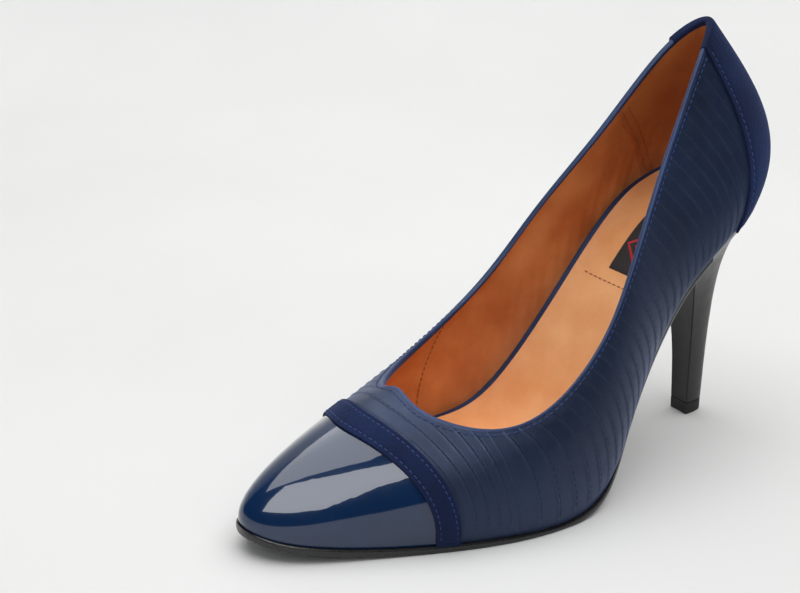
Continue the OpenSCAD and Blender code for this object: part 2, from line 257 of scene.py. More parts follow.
# %% [markdown]
# ## Finishes
#
# Each material is a small network: slow noise that varies the colour, fine noise or cells for the grain,
# and a bump made from it. The nodes could be placed by hand in the editor. Here a helper adds them, so that
# every recipe below reads as a short list and can be changed in one place.


# %% Node helpers
def linear(hex_colour):
    """A colour as the shader wants it, from the usual six-digit code."""
    out = []
    for i in (0, 2, 4):
        c = int(hex_colour[i:i + 2], 16) / 255
        out.append(c / 12.92 if c <= 0.04045 else ((c + 0.055) / 1.055) ** 2.4)
    return (*out, 1.0)


class Finish:
    """A material under construction. Numbers that are the same all over go straight on the shader."""

    def __init__(self, name, **values):
        self.material = bpy.data.materials.new(name)
        self.material.use_nodes = True
        self.tree = self.material.node_tree
        self.shader = self.tree.nodes["Principled BSDF"]
        self.place = self.node("ShaderNodeTexCoord").outputs["Object"]
        for key, value in values.items():
            label = key.replace("_", " ").title().replace("Ior", "IOR")
            self.shader.inputs[label].default_value = value

    def fill(self, socket, value):
        """Feeds a socket from another node's output, or sets its number."""
        if isinstance(value, bpy.types.NodeSocket):
            self.tree.links.new(value, socket)
        else:
            socket.default_value = value

    def node(self, kind, **inputs):
        """A new node with its inputs filled by name."""
        made = self.tree.nodes.new(kind)
        for key, value in inputs.items():
            self.fill(made.inputs[key], value)
        return made

    def noise(self, per_mm, detail=3.0, stretch=None):
        """Noise with features of about 1 / per_mm millimetres."""
        place = self.place
        if stretch:
            place = self.node("ShaderNodeMapping", Vector=place, Scale=stretch).outputs[0]
        made = self.node("ShaderNodeTexNoise", Vector=place, Scale=per_mm / MM, Detail=detail)
        return made.outputs["Fac"]

    def cells(self, per_mm):
        """Distance to the nearest of many scattered points, as pores are scattered."""
        return self.node("ShaderNodeTexVoronoi", Vector=self.place, Scale=per_mm / MM).outputs["Distance"]

    def mapped(self, value, low, high, start=0.3, end=0.7):
        """A value between start and end becomes one between low and high."""
        made = self.node("ShaderNodeMapRange", Value=value)
        for key, number in (("From Min", start), ("From Max", end), ("To Min", low), ("To Max", high)):
            made.inputs[key].default_value = number
        return made.outputs["Result"]

    def blend(self, share, first, second):
        """Colour between two colours or colour sockets."""
        made = self.node("ShaderNodeMix")
        made.data_type = "RGBA"
        for index, value in ((0, share), (6, first), (7, second)):
            self.fill(made.inputs[index], value)
        return made.outputs[2]

    def add(self, a, b):
        """Sum of two values."""
        made = self.node("ShaderNodeMath")
        for index, value in ((0, a), (1, b)):
            self.fill(made.inputs[index], value)
        return made.outputs[0]

    def colour(self, value):
        self.fill(self.shader.inputs["Base Color"], value)

    def rough(self, value):
        self.fill(self.shader.inputs["Roughness"], value)

    def bump(self, height, depth_mm, strength=1.0):
        """Tilts the shading by a height map of the given depth, and hands back the tilted direction."""
        made = self.node("ShaderNodeBump", Height=height, Strength=strength, Distance=depth_mm * MM)
        self.tree.links.new(made.outputs["Normal"], self.shader.inputs["Normal"])
        return made.outputs["Normal"]


print("navy as the shader wants it:", [round(c, 3) for c in linear("182642")[:3]])

# %% [markdown]
# ### Navy leather
#
# The vamp and the quarters are matt calf, dyed navy. Under a lamp it shows a soft sheen, not a mirror,
# with a very fine grain of pores. Voronoi cells give the pores, a slow noise the dye. The sheen layer of the
# shader brightens it where it turns away from the eye, which a lower roughness alone would not do. The
# folded topline and the insole rim get the same recipe with two paler blues: a painted highlight.


# %% Navy leather
def navy_leather(name, deep, light):
    """Dyed calf between two tones, with dark pores."""
    f = Finish(name, roughness=0.45, sheen_weight=0.42, sheen_roughness=0.42, sheen_tint=linear("8aa0d6"),
               specular_ior_level=0.5, specular_tint=linear("c4d4f8"))
    dye = f.mapped(f.noise(0.035, 4), 0, 1, 0.35, 0.65)
    grain = f.cells(1.9)
    f.colour(f.blend(f.mapped(grain, 0, 0.25, 0.0, 0.6), f.blend(dye, linear(deep), linear(light)),
                     linear("0d1526")))
    f.rough(f.mapped(f.noise(0.3, 3), 0.4, 0.54))
    f.bump(f.add(grain, f.noise(0.9, 4)), 0.05, 0.5)
    return f.material


NAVY = navy_leather("navy_leather", "111c32", "182642")
# Two paler blues: a painted highlight on the folded topline roll and the insole rim.
PAINTED_HIGHLIGHT_NAVY = navy_leather("painted_highlight_leather", "1d2b4e", "293d69")
print("leathers:", NAVY.name, PAINTED_HIGHLIGHT_NAVY.name)

# %% [markdown]
# ### Patent leather
#
# Patent is navy leather under a thick clear lacquer. One glossy shader would make it look like metal, so the
# gloss is a coat of its own over a duller blue. Lacquer is never quite flat: a slow, shallow bump on the
# coat bends the edges of a reflection a little.


# %% Patent leather
def patent_leather():
    """Dull blue under a clear coat with a slight orange peel."""
    f = Finish("patent", roughness=0.2, specular_ior_level=0.1, coat_weight=1.0, coat_roughness=0.02,
               coat_ior=1.55)
    dye = f.mapped(f.noise(0.03, 2), 0, 1, 0.35, 0.65)
    f.colour(f.blend(dye, linear("0c2342"), linear("112b4f")))
    f.rough(f.mapped(f.noise(0.2, 2), 0.16, 0.24))
    peel = f.bump(f.noise(0.11, 2), 0.13, 0.5)
    f.tree.links.new(peel, f.shader.inputs["Coat Normal"])
    return f.material


PATENT = patent_leather()
print("lacquered:", PATENT.name)

# %% [markdown]
# ### Suede
#
# The band and the counter cover are suede, brushed skin with a short nap. Hair would be too heavy for a nap
# this short. Stretched noise gives the tracks of the brush, fine noise the fibres, and a little sheen the
# soft light along the edges.


# %% Suede
def suede():
    """Brushed navy skin with a nap."""
    f = Finish("suede", roughness=0.95, specular_ior_level=0.15, sheen_weight=0.22, sheen_roughness=0.5,
               sheen_tint=linear("6f8ad0"))
    brushed = f.mapped(f.noise(0.06, 5, (1.0, 0.6, 0.35)), 0, 1, 0.36, 0.66)
    nap = f.noise(2.6, 5)
    body = f.blend(brushed, linear("0a1432"), linear("152650"))
    f.colour(f.blend(f.mapped(nap, 0, 0.5, 0.35, 0.65), body, linear("081026")))
    f.rough(f.mapped(nap, 0.85, 1.0))
    f.bump(f.add(nap, f.mapped(f.noise(0.8, 3), 0, 0.8)), 0.16, 0.8)
    return f.material


SUEDE = suede()
print("brushed:", SUEDE.name)

# %% [markdown]
# ### Lining, sock and stiff hidden layers
#
# The lining is undyed tan pigskin: warm orange, matt, with the small creases that lasting leaves. The
# sock is the same leather, paler, over thin foam. The folds could all be modelled. The long ones are, later
# on, and the small ones are left to the bump, because they are finer than the mesh.


# %% Tan leather
def tan_leather(name, deep, light, crease=0.12):
    """Pigskin between two tones, with darker pores and soft creases of the given depth."""
    f = Finish(name, roughness=0.55, specular_ior_level=0.35, subsurface_weight=0.03,
               subsurface_radius=(0.002, 0.001, 0.0005))
    tone = f.mapped(f.noise(0.045, 4), 0, 1, 0.34, 0.66)
    pores = f.cells(1.4)
    speck = f.mapped(pores, 0.3, 0, 0.0, 0.25)
    f.colour(f.blend(speck, f.blend(tone, linear(deep), linear(light)), linear("8d4a20")))
    f.rough(f.mapped(f.noise(0.5, 3), 0.45, 0.66))
    folds = f.mapped(f.noise(0.16, 4, (1.0, 0.5, 1.6)), 0, 1)
    f.bump(f.add(folds, f.mapped(pores, 0, 0.25)), crease, 0.55)
    return f.material


LINING = tan_leather("lining", "bd6c35", "d88b4f")
GRIP = tan_leather("grip", "ab5d29", "c2743b")
SOCK = tan_leather("sock_leather", "efa566", "fdbf83", 0.06)
print("tans:", LINING.name, GRIP.name, SOCK.name)

# %% [markdown]
# ### Board, cork, foam and thread
#
# Boards, fillers, foam and thread are all matt stuff made of small fibres or grains. One recipe does for
# them: a noise of the right fineness between two tones, which bumps the surface too.


# %% Fibres
def fibre(name, deep, light, per_mm=0.9, rough=0.85, depth=0.08):
    """Matt stuff between two tones, grained per_mm times a millimetre."""
    f = Finish(name, roughness=rough, specular_ior_level=0.3)
    grain = f.noise(per_mm, 5)
    f.colour(f.blend(f.mapped(grain, 0, 1), linear(deep), linear(light)))
    f.rough(f.mapped(grain, rough - 0.08, rough + 0.08))
    f.bump(grain, depth, 0.7)
    return f.material


BOARD = fibre("board", "8f7450", "b3946a")
STIFFENER = fibre("stiffener", "b8a888", "cfc1a2")
CORK = fibre("cork", "6f5a3c", "a2865c", 0.5)
FOAM = fibre("foam", "cbbb96", "e2d6b6", 1.6)
THREAD = fibre("navy_thread", "1b2f5e", "2b4580", 3.0, 0.6, 0.04)
DARK_THREAD = fibre("dark_thread", "121b33", "1c2848", 3.0, 0.7, 0.04)
TAN_THREAD = fibre("tan_thread", "8a4a22", "a8632f", 3.0, 0.6, 0.04)
print("threads:", THREAD.name, DARK_THREAD.name, TAN_THREAD.name)

# %% [markdown]
# ### Sole, heel, steel
#
# The outsole is moulded dark resin, polished under the waist. The heel is lacquered charcoal over its
# plastic core, so it gets a clear coat. The top piece is matt rubber. Steel shows only when the top
# piece is pulled. One recipe with a coat that can be left out serves all three dark parts.


# %% Sole, heel and metal finishes
def moulded(name, deep, light, rough, coat=0.0, grain=1.2, depth=0.05, shine=0.5):
    """Moulded resin or rubber, lacquered by the share coat."""
    f = Finish(name, roughness=rough, specular_ior_level=shine, coat_weight=coat, coat_roughness=0.08)
    tone = f.noise(0.08, 3)
    fine = f.noise(grain, 4)
    f.colour(f.blend(f.mapped(tone, 0, 1), linear(deep), linear(light)))
    f.rough(f.mapped(fine, rough - 0.05, rough + 0.07))
    f.bump(f.add(fine, tone), depth, 0.5)
    return f.material


def metal(name, colour, rough):
    """Drawn wire, with fine streaks along it."""
    f = Finish(name, metallic=1.0, roughness=rough)
    drawn = f.noise(1.5, 3, (1.0, 1.0, 0.06))
    f.colour(f.blend(f.mapped(drawn, 0, 0.35), linear(colour), linear("5c6066")))
    f.rough(f.mapped(drawn, rough - 0.06, rough + 0.12))
    f.bump(drawn, 0.01, 0.5)
    return f.material


SOLE = moulded("outsole", "121214", "1b1a1d", 0.3, 0.1)
LACQUER = moulded("heel_lacquer", "111113", "18181a", 0.36, 0.16, 0.25, 0.005, 0.3)
RUBBER = moulded("top_piece_rubber", "0f0f11", "191a1c", 0.62, 0.0, 1.6, 0.09)
STEEL = metal("steel", "b4b8bd", 0.28)
BRASS = metal("brass", "c69b4f", 0.3)
print("heel:", LACQUER.name, "on", STEEL.name)

# %% [markdown]
# ## Camera, floor and light
#
# The view comes from the outer side, over the toe, from a little above. A long lens keeps the shoe's
# proportions, where a short one would swell the toe. Its place and turn are set once, in numbers.

# %% Camera
VIEW_YAW = math.radians(56.8)
VIEW_DIP = math.radians(22.2)
look = Vector((-math.sin(VIEW_YAW) * math.cos(VIEW_DIP), math.cos(VIEW_YAW) * math.cos(VIEW_DIP),
               -math.sin(VIEW_DIP)))
camera_data = bpy.data.cameras.new("camera")
camera_data.sensor_width = 36
camera_data.lens = 67.5
camera_data.clip_start = 0.01
camera = bpy.data.objects.new("camera", camera_data)
camera.location = (0.3835, -0.3011, 0.266)
camera.rotation_euler = look.to_track_quat("-Z", "Y").to_euler()
bpy.context.scene.collection.objects.link(camera)
bpy.context.scene.camera = camera
bpy.context.scene.view_settings.view_transform = "Standard"

print("the view dips by", round(math.degrees(VIEW_DIP), 1), "degrees")

# %% [markdown]
# ### Floor and wall
#
# The shoe stands on a pale sheet that curves up behind it into a wall, so no corner shows. Two planes would
# meet in a hard line. One profile drawn sideways gives the floor, the curve and the wall together.

# %% Sweep
CURVE_AT = 0.35      # metres behind the shoe's middle
CURVE_R = 0.5
REACH = 2.5


def sweep():
    """Floor that curves up into a wall well behind the shoe."""
    f = Finish("paper", roughness=0.75, specular_ior_level=0.25)
    f.colour(f.blend(f.mapped(f.noise(0.004, 3), 0, 1), linear("dcdcda"), linear("e2e2e0")))
    f.bump(f.noise(0.4, 3), 0.02, 0.3)
    profile = [(-REACH, 0.0), (CURVE_AT, 0.0)]
    for a in np.linspace(0.1, math.pi / 2, 14):
        profile.append((CURVE_AT + CURVE_R * math.sin(a), CURVE_R - CURVE_R * math.cos(a)))
    profile.append((CURVE_AT + CURVE_R, REACH))
    across = Vector((-look.y, look.x, 0)).normalized()
    ahead = Vector((look.x, look.y, 0)).normalized()
    points = []
    for d, z in profile:
        for side in (-REACH, REACH):
            points.append(tuple(ahead * d + across * side + Vector((0, 0, z))))
    faces = [(2 * i + 1, 2 * i, 2 * i + 2, 2 * i + 3) for i in range(len(profile) - 1)]
    mesh = bpy.data.meshes.new("floor")
    mesh.from_pydata(points, [], faces)
    mesh.materials.append(f.material)
    mesh.shade_smooth()
    floor = bpy.data.objects.new("floor", mesh)
    bpy.context.scene.collection.objects.link(floor)


sweep()
print("the sheet curves up", CURVE_AT, "m behind the shoe")

# %% [markdown]
# ### Light
#
# Two soft boxes show only in what is glossy. They draw the clean shapes on the patent cap and the sheen of
# the leather. A wide panel overhead, a fill from the right and a pale room light only what is matt, and give
# the soft shadow under the shoe. One set of lamps for both would leave either the shapes or the shadow wrong.


# %% Lamps
def soft_box(name, place, aim, size, radiance, roll=0.0, diffuse=True, glossy=True):
    """A flat panel of even brightness. Its power follows from its size, so a reflection keeps its tone.
    A panel can light only what is matt, or show only in what is glossy, as a flag or a card does."""
    data = bpy.data.lights.new(name, "AREA")
    data.shape = "RECTANGLE"
    data.size, data.size_y = size
    data.energy = radiance * math.pi * size[0] * size[1]
    lamp = bpy.data.objects.new(name, data)
    lamp.location = place
    facing = (Vector(aim) - Vector(place)).to_track_quat("-Z", "Y").to_euler()
    facing.rotate_axis("Z", math.radians(roll))
    lamp.rotation_euler = facing
    lamp.visible_diffuse, lamp.visible_glossy = diffuse, glossy
    bpy.context.scene.collection.objects.link(lamp)


CAP_SPOT = Vector((0.0, -0.08, 0.03))
TO_FRONT = Vector((0.463, -0.58, 0.677))
CEILING = (-0.46, -0.07, 1.03)
UNDER_CEILING = (-0.46, -0.07, 0.0)
soft_box("ceiling_box", CEILING, UNDER_CEILING, (0.92, 1.44), 3.3, roll=38, diffuse=False)
soft_box("front_box", CAP_SPOT + 1.2 * TO_FRONT, CAP_SPOT, (1.03, 0.8), 5.2, roll=-10.5, diffuse=False)
soft_box("sky_panel", (-0.1, 0.15, 1.6), (0, 0, 0.0), (2.2, 2.2), 2.1, glossy=False)
soft_box("right_fill", (0.9, 0.2, 1.2), (0, 0, 0.0), (1.0, 1.0), 0.6, glossy=False)
world = bpy.data.worlds.new("room")
world.use_nodes = True
world.node_tree.nodes["Background"].inputs["Color"].default_value = (0.94, 0.96, 1.0, 1)
world.node_tree.nodes["Background"].inputs["Strength"].default_value = 0.4
world.cycles_visibility.glossy = False
bpy.context.scene.world = world
print("lamps:", len(bpy.data.lights))

# %% [markdown]
# ## Cross-lines
#
# The edge of the toe cap, both edges of the suede band and the first tucks are one family of lines. All
# points of a line lag the same distance behind the cap's edge. They could be drawn by hand as curves on the
# skin, but then each change of the last would mean drawing them again. Two searches find where a line
# crosses a rib of the skin: by height at a given t, and by t at a given height.

# %% Lag of a point behind the cap's edge, in millimetres
CAP_EDGE = -67       # y of the cap's edge on the middle line
NOSE_R = 8           # radius of the lines' bend there
SIDE_LAG = 0.46      # how fast they fall back to the sides
SIDE_PINCH = 0.017   # how fast they draw together
RISE_LAG = 0.12      # how much they lean forwards as they rise
BAND_W = 9.5
CAP_UNDER = 4.8      # how far the cap runs on under the band
JOIN = 0.5           # gap to the vamp there


def lag(p):
    """Distance of points behind the cap's edge."""
    a = np.sqrt(p[..., 0] ** 2 + NOSE_R**2) - NOSE_R
    return (p[..., 1] - CAP_EDGE - SIDE_LAG * a + RISE_LAG * p[..., 2]) * (1 + SIDE_PINCH * a)


def bisect(value_at, target, low, high, rounds=26):
    """Where a falling or rising function crosses a target, all at once for arrays."""
    low, high = np.array(low, float), np.array(high, float)
    rising = value_at(high) > value_at(low)
    for _ in range(rounds):
        middle = (low + high) / 2
        under = (value_at(middle) < target) == rising
        low, high = np.where(under, middle, low), np.where(under, high, middle)
    return (low + high) / 2


def v_on_line(t, target):
    """Height at which a cross-line meets the rib at t, 0 where it has run out at the feather line."""
    t, target = np.broadcast_arrays(np.asarray(t, float), np.asarray(target, float))
    v = bisect(lambda x: lag(skin(t, x)), target, np.zeros(t.shape), np.ones(t.shape))
    return np.where(lag(skin(t, 0 * t)) >= target, 0, v)


def t_on_line(side, v, target):
    """t at which a cross-line reaches height v, on the outer (1) or the inner (-1) side."""
    v, target = np.broadcast_arrays(np.asarray(v, float), np.asarray(target, float))
    return side * bisect(lambda x: lag(skin(side * x, v)), target, np.zeros(v.shape), np.full(v.shape, 4.5))


band_ends = [float(t_on_line(side, 0.0, BAND_W)) for side in (-1, 1)]
print("the band leaves the feather line at t =", [round(t, 2) for t in band_ends])

# %% [markdown]
# ## Toe cap
#
# The cap is patent leather pulled tight over a stiff puff, so its face is smooth and taut, with a soft
# ridge down the outer side. It runs under the suede band. It could be cut from one plate for the whole
# upper, but cap and vamp are two skins, so it is a plate of its own. Rows follow the height, columns the way
# round, and the columns crowd where the band's line climbs fast.

# %% Toe cap
LEATHER = 1.0
SUEDE_T = 0.8
LEAST_V = 0.02


def crowded(start, end, count):
    """Values from start to end through 0, closer together towards both ends."""
    s = np.sin(np.linspace(-math.pi / 2, math.pi / 2, count))
    return np.where(s < 0, -s * start, s * end)


def cap_grid(columns=220, rows=70):
    """Addresses of the cap's leather, from the feather line to its upper edge."""
    ends = [float(t_on_line(side, 0.0, CAP_UNDER)) for side in (-1, 1)]
    t = crowded(*ends, columns)
    top = np.maximum(LEAST_V, v_on_line(t, CAP_UNDER))
    v = np.linspace(0, 1, rows)[None, :] * top[:, None]
    return np.repeat(t[:, None], rows, 1), v


cap_t, cap_v = cap_grid()
cap = plate_piece("toe_cap_patent", cap_t, cap_v, 0 * cap_t, np.full(cap_t.shape, LEATHER), PATENT)
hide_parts("toe_cap")
print("toe cap:", len(cap.data.vertices), "points")

# %% [markdown]
# ## Tucks
#
# Narrow tucks are sewn across the vamp and the quarters before lasting, about 5 mm apart. In front of the
# throat they cross the shoe parallel to the band. Further back each one starts at the topline at t = k and
# leans towards the heel on its way down, less and less, until it stands straight at the counter. A bump
# would leave their outline flat, so they are raised in the mesh. This cell only draws their lines.

# %% Tuck lines
TUCK_PITCH = 5.4
LEAN_ENDS = 7.35                # tucks stand straight from this t
LEAN_POWER = 0.65               # how the lean dies away before that
JOIN_LAG = 38.0                 # cross-line at which the fine grid hands over to the side grids


def topline_run(side):
    """Places t along the topline and its length from the throat to each, in millimetres."""
    t = np.linspace(0, 8, 400)
    p = skin(side * t, 1.0)
    return t, np.concatenate([[0], np.cumsum(np.linalg.norm(np.diff(p, axis=0), axis=1))])


def topline_length(side, k):
    """Millimetres along the topline from the throat to k."""
    t, run = topline_run(side)
    return float(np.interp(k, t, run))


def k_at_length(side, length):
    """The place that lies so far along the topline."""
    t, run = topline_run(side)
    return np.interp(length, run, t)


# The joining line leaves the topline at these places on the outer and the inner side
join_k = {side: float(bisect(lambda t: lag(skin(side * t, 1.0)), JOIN_LAG, 0.8, 5.0)) for side in (1, -1)}
print("the joining tuck leaves the topline at", join_k)


def join_line(side, v):
    """Way round the shoe of the joining tuck at height v."""
    low = np.full(np.shape(v), join_k[side])
    return bisect(lambda x: lag(skin(side * x, v)), JOIN_LAG, low, low * 0 + 5.0)


def lean_share(side, k):
    """How much of the joining tuck's lean is left in the tuck that starts at k."""
    return np.clip(1 - (np.asarray(k) - join_k[side]) / (LEAN_ENDS - join_k[side]), 0, 1) ** LEAN_POWER


def tuck_t(side, k, v):
    """Way round the shoe, at height v, of the tuck that starts at the topline at k."""
    return k + lean_share(side, k) * (join_line(side, v) - join_k[side])


print("a tuck from k = 5 ends at t =", round(float(tuck_t(1, 5.0, np.array(0.0))), 2), "at the feather line")

# %% [markdown]
# ### Tucks as columns of a grid
#
# Each tuck is a low ridge with a shallow valley behind it, where the stitches lie. On the sides the mesh
# columns follow the tucks, with a few extra columns round each one, so that the ridge is cut sharply from
# few faces. An even grid would need many times as many. The inner quarter ends at a slanted seam, so a
# grid can begin or end at any height of a tuck.

# %% Side grids
TUCK_HIGH = 0.24
TUCK_PROFILE = [(-1.4, 0.0), (-0.5, 0.1), (-0.2, 0.8), (0.0, 1.0), (0.15, 0.8), (0.32, -0.45), (0.6, -0.15),
                (1.2, 0.0)]     # millimetres across the tuck, share of its height


def tuck_columns(length, pitch):
    """Places across the tucks from the joining tuck to length, and the leather's height there."""
    places, heights = [-0.3, 0.0], [-0.45, -0.45]
    for k in range(1, math.floor((length - 1.3) / pitch) + 1):
        for offset, height in TUCK_PROFILE:
            places.append(k * pitch + offset)
            heights.append(height)
        places.append((k + 0.52) * pitch)
        heights.append(0.0)
    keep = np.array(places) < length - 0.2
    return np.append(np.array(places)[keep], length), np.append(np.array(heights)[keep], 0.0)


def tuck_fade(v):
    """Tucks melt into the leather at the lasting edge and under the topline fold."""
    return ease(v / 0.10) * (1 - 0.6 * ease((v - 0.95) / 0.05))


SIDE_ROWS = 60
row_v = np.linspace(0, 1, SIDE_ROWS)
INNER_SEAM = TURN - 12.1        # seam between vamp and inner quarter
QUARTER_END = 7.35              # the quarters end here, under the counter cover


def v_at_seam(k):
    """Height at which the tuck from k crosses the inner seam."""
    k = np.asarray(k, float)
    v = bisect(lambda v: tuck_t(-1, k, v), INNER_SEAM, np.zeros(k.shape), np.ones(k.shape))
    return np.where(tuck_t(-1, k, 0 * k) < INNER_SEAM, 0.0, np.where(k > INNER_SEAM, 1.0, v))


def side_grid(side, first_k, end_k, v_low=None, v_high=None):
    """Addresses and tuck heights of the leather from first_k to end_k, between two heights."""
    start = topline_length(side, join_k[side])
    places, heights = tuck_columns(topline_length(side, end_k) - start, TUCK_PITCH)
    k = k_at_length(side, places + start)
    keep = k >= first_k
    k, heights = k[keep], heights[keep]
    low = np.zeros(len(k)) if v_low is None else v_low(k)
    high = np.ones(len(k)) if v_high is None else v_high(k)
    v = low[:, None] + (high - low)[:, None] * row_v[None, :]
    t = side * tuck_t(side, k[:, None], v)
    return t, v, heights[:, None] * tuck_fade(v)


print("a side grid has", len(side_grid(1, 0.0, QUARTER_END)[0]), "columns")

# %% [markdown]
# ### Tucks over the toes
#
# In front of the throat the tucks run right across the shoe and bend round it too sharply to be columns of a
# grid. There a fine even grid is raised by the same profile, from how far each point lies behind the cap.
# Then one leather is made from its grids and thickened inwards.


# %% Front grid, and leather from grids
def front_grid(columns=620, rows=84):
    """Addresses and tuck heights over the toes, from under the cap to the joining tuck."""
    end = {side: float(join_line(side, np.array(0.0))) for side in (1, -1)}
    t = np.linspace(-end[-1], end[1], columns)
    low = v_on_line(t, CAP_UNDER + JOIN)
    open_top = np.abs(t) < np.where(t > 0, join_k[1], join_k[-1])
    high = np.where(open_top, 1.0, np.maximum(0.0, v_on_line(t, JOIN_LAG)))
    high = np.maximum(high, low + 0.002)
    v = low[:, None] + (high - low)[:, None] * np.linspace(0, 1, rows)[None, :]
    t = np.repeat(t[:, None], rows, 1)
    behind = lag(skin(t, v)) - JOIN_LAG
    across = (behind + TUCK_PITCH / 2) % TUCK_PITCH - TUCK_PITCH / 2
    heights = np.interp(across, *zip(*TUCK_PROFILE))
    return t, v, heights * tuck_fade(v)


def tucked_leather(name, grids, material, thick):
    """One leather from several grids, given its thickness inwards."""
    points, faces, count = [], [], 0
    for t, v, high in grids:
        points.append(layer_point(t, v, -TUCK_HIGH * high).reshape(-1, 3))
        quads = grid_faces(*t.shape, start=count)
        faces.append(quads if t[-1, 0] > t[0, 0] else quads[:, ::-1])
        count += t.size
    piece = add_piece(name, np.concatenate(points), np.concatenate(faces), material, smooth_angle=None)
    solid = piece.modifiers.new("thickness", "SOLIDIFY")
    solid.thickness = thick * MM
    solid.offset = -1
    return piece


print("the fine grid over the toes has", front_grid()[0].size, "points")

# %% [markdown]
# ### Vamp and quarters
#
# The vamp and the outer quarter are one piece of navy calf. The inner quarter is a second one, and its seam
# with the vamp runs down the inner side. Both are made from the grids above, so their tucks meet.

# %% Vamp with the outer quarter, and the inner quarter
seam_foot_k = float(bisect(lambda k: tuck_t(-1, k, 0 * k), INNER_SEAM, join_k[-1], INNER_SEAM))


def above_seam(k):
    """Lower end of the vamp's leather along the tuck from k."""
    return np.minimum(v_at_seam(k), 0.995)


def under_seam(k):
    """Upper end of the inner quarter's leather along the tuck from k."""
    return np.maximum(v_at_seam(k), 0.005)


outer_side = side_grid(1, 0.0, QUARTER_END)
inner_front = side_grid(-1, 0.0, INNER_SEAM - 0.02, v_low=above_seam)
inner_back = side_grid(-1, max(0.0, seam_foot_k - 0.1), QUARTER_END, v_high=under_seam)
vamp = tucked_leather("vamp_leather", [front_grid(), outer_side, inner_front], NAVY, LEATHER)
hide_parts("vamp")
quarter = tucked_leather("inner_quarter_leather", [inner_back], NAVY, LEATHER)
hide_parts("inner_quarter")
print("vamp:", len(vamp.data.vertices), "points on its face; inner quarter:", len(quarter.data.vertices))

# %% [markdown]
# ## Suede band
#
# The band is a strip of suede laid over the joint of cap and vamp and sewn down along both edges. Suede is
# cut raw, so its edge is a plain half round. A flat strip would look like paint. So the two seams draw it
# down a little and it stands up between them.

# %% Suede band
SUEDE_OUT = SUEDE_T + 0.3       # how far its face stands out of the skin
SEAM_DIP = 0.22
SEAM_AT = 0.15                  # share of the width from each edge
SEAM_WIDE = 0.05
BAND_SWELL = 0.12
band_t = crowded(*band_ends, 260)
band_low = np.maximum(0.0, v_on_line(band_t, 0.0))
band_high = np.maximum(LEAST_V, v_on_line(band_t, BAND_W))
across_band = np.unique(np.concatenate([np.linspace(0, 0.2, 6), np.linspace(0.2, 0.8, 9)[1:-1],
                                        np.linspace(0.8, 1, 6)]))
band_v = band_low[:, None] + (band_high - band_low)[:, None] * across_band[None, :]
seam_dip = (np.exp(-((across_band - SEAM_AT) / SEAM_WIDE) ** 2)
            + np.exp(-((across_band - 1 + SEAM_AT) / SEAM_WIDE) ** 2))
band_depth = -SUEDE_OUT + SEAM_DIP * seam_dip - BAND_SWELL * np.sin(math.pi * across_band)
band = plate_piece("suede_band_strip", np.repeat(band_t[:, None], len(across_band), 1), band_v,
                   np.repeat(band_depth[None, :], len(band_t), 0), np.full(band_v.shape, -0.1), SUEDE)
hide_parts("suede_band")
print("band:", len(band.data.vertices), "points")

# %% [markdown]
# ## Counter cover
#
# A second piece of suede wraps the heel and hides the ends of the quarters. Its front edges lean forwards as
# they rise, and one seam runs down beside each of them. It is a plate like the band, with the way round
# turned into columns that crowd at the edges, where the seams need them.

# %% Counter cover
COVER_T = 6.8
COVER_LEAN = 0.3
COVER_DIP = 0.2
COVER_SEAM = 0.035              # width of the dip, along t


def cover_start(v):
    """Front edge of the counter cover at height v."""
    return COVER_T + COVER_LEAN * v


cover_rows = np.concatenate([np.linspace(0, 0.92, 40)[:-1], np.linspace(0.92, 1.0, 8)])
cover_cols = np.concatenate([np.linspace(0, 0.07, 8)[:-1], np.linspace(0.07, 0.93, 60)[:-1],
                             np.linspace(0.93, 1, 8)])
cover_v = np.repeat(cover_rows[None, :], len(cover_cols), 0)
cover_edge = cover_start(cover_v)
cover_t = cover_edge + (TURN - 2 * cover_edge) * cover_cols[:, None]
cover_seam = np.exp(-((cover_t - cover_edge) / COVER_SEAM - 1.6) ** 2)
cover_seam += np.exp(-((TURN - cover_t - cover_edge) / COVER_SEAM - 1.6) ** 2)
cover = plate_piece("counter_cover_suede", cover_t, cover_v, -SUEDE_OUT + COVER_DIP * cover_seam,
                    np.full(cover_t.shape, -0.05), SUEDE)
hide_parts("counter_cover")
print("cover:", len(cover.data.vertices), "points")

# %% [markdown]
# ## Folded topline
#
# The leather is skived, folded over and glued at the topline, so the foot meets a soft roll and no raw
# edge. A round tube would be simpler, but the real roll is flat inside and full outside. So its section is
# given point by point and swept round as one closed ring. Its paler colour is a painted highlight along the
# roll. Over the counter the suede goes round it, as a second, open sweep.

# %% Topline roll
ROLL = [(-2.0, -0.9), (-2.08, 0.1), (-1.85, 0.6), (-1.3, 0.88), (-0.6, 0.9), (-0.1, 0.7), (0.1, 0.3),
        (0.1, -0.2), (0.0, -0.7), (-0.4, -1.1), (-1.6, -1.1)]      # millimetres out of the skin and up it
FOLD_OUT = 0.85      # the suede stands this much further out
FOLD_UP = 0.3        # and this much higher


def ring_sweep(name, section, t, material, closed=True):
    """Sweeps a section given in (out, up) along the topline."""
    p, o, u = skin(t, 1.0), outward(t, 1.0), upward(t, 1.0)
    s = np.array(section)
    points = p[:, None] + s[None, :, 0, None] * o[:, None] + s[None, :, 1, None] * u[:, None]
    n, m = len(t), len(s)
    faces = []
    for i in range(n if closed else n - 1):
        j = (i + 1) % n
        faces += [(i * m + k, i * m + (k + 1) % m, j * m + (k + 1) % m, j * m + k) for k in range(m)]
    points = points.reshape(-1, 3)
    if not closed:
        faces += [tuple(range(m)), tuple((n - 1) * m + k for k in reversed(range(m)))]
    return weld(add_piece(name, points, faces, material))
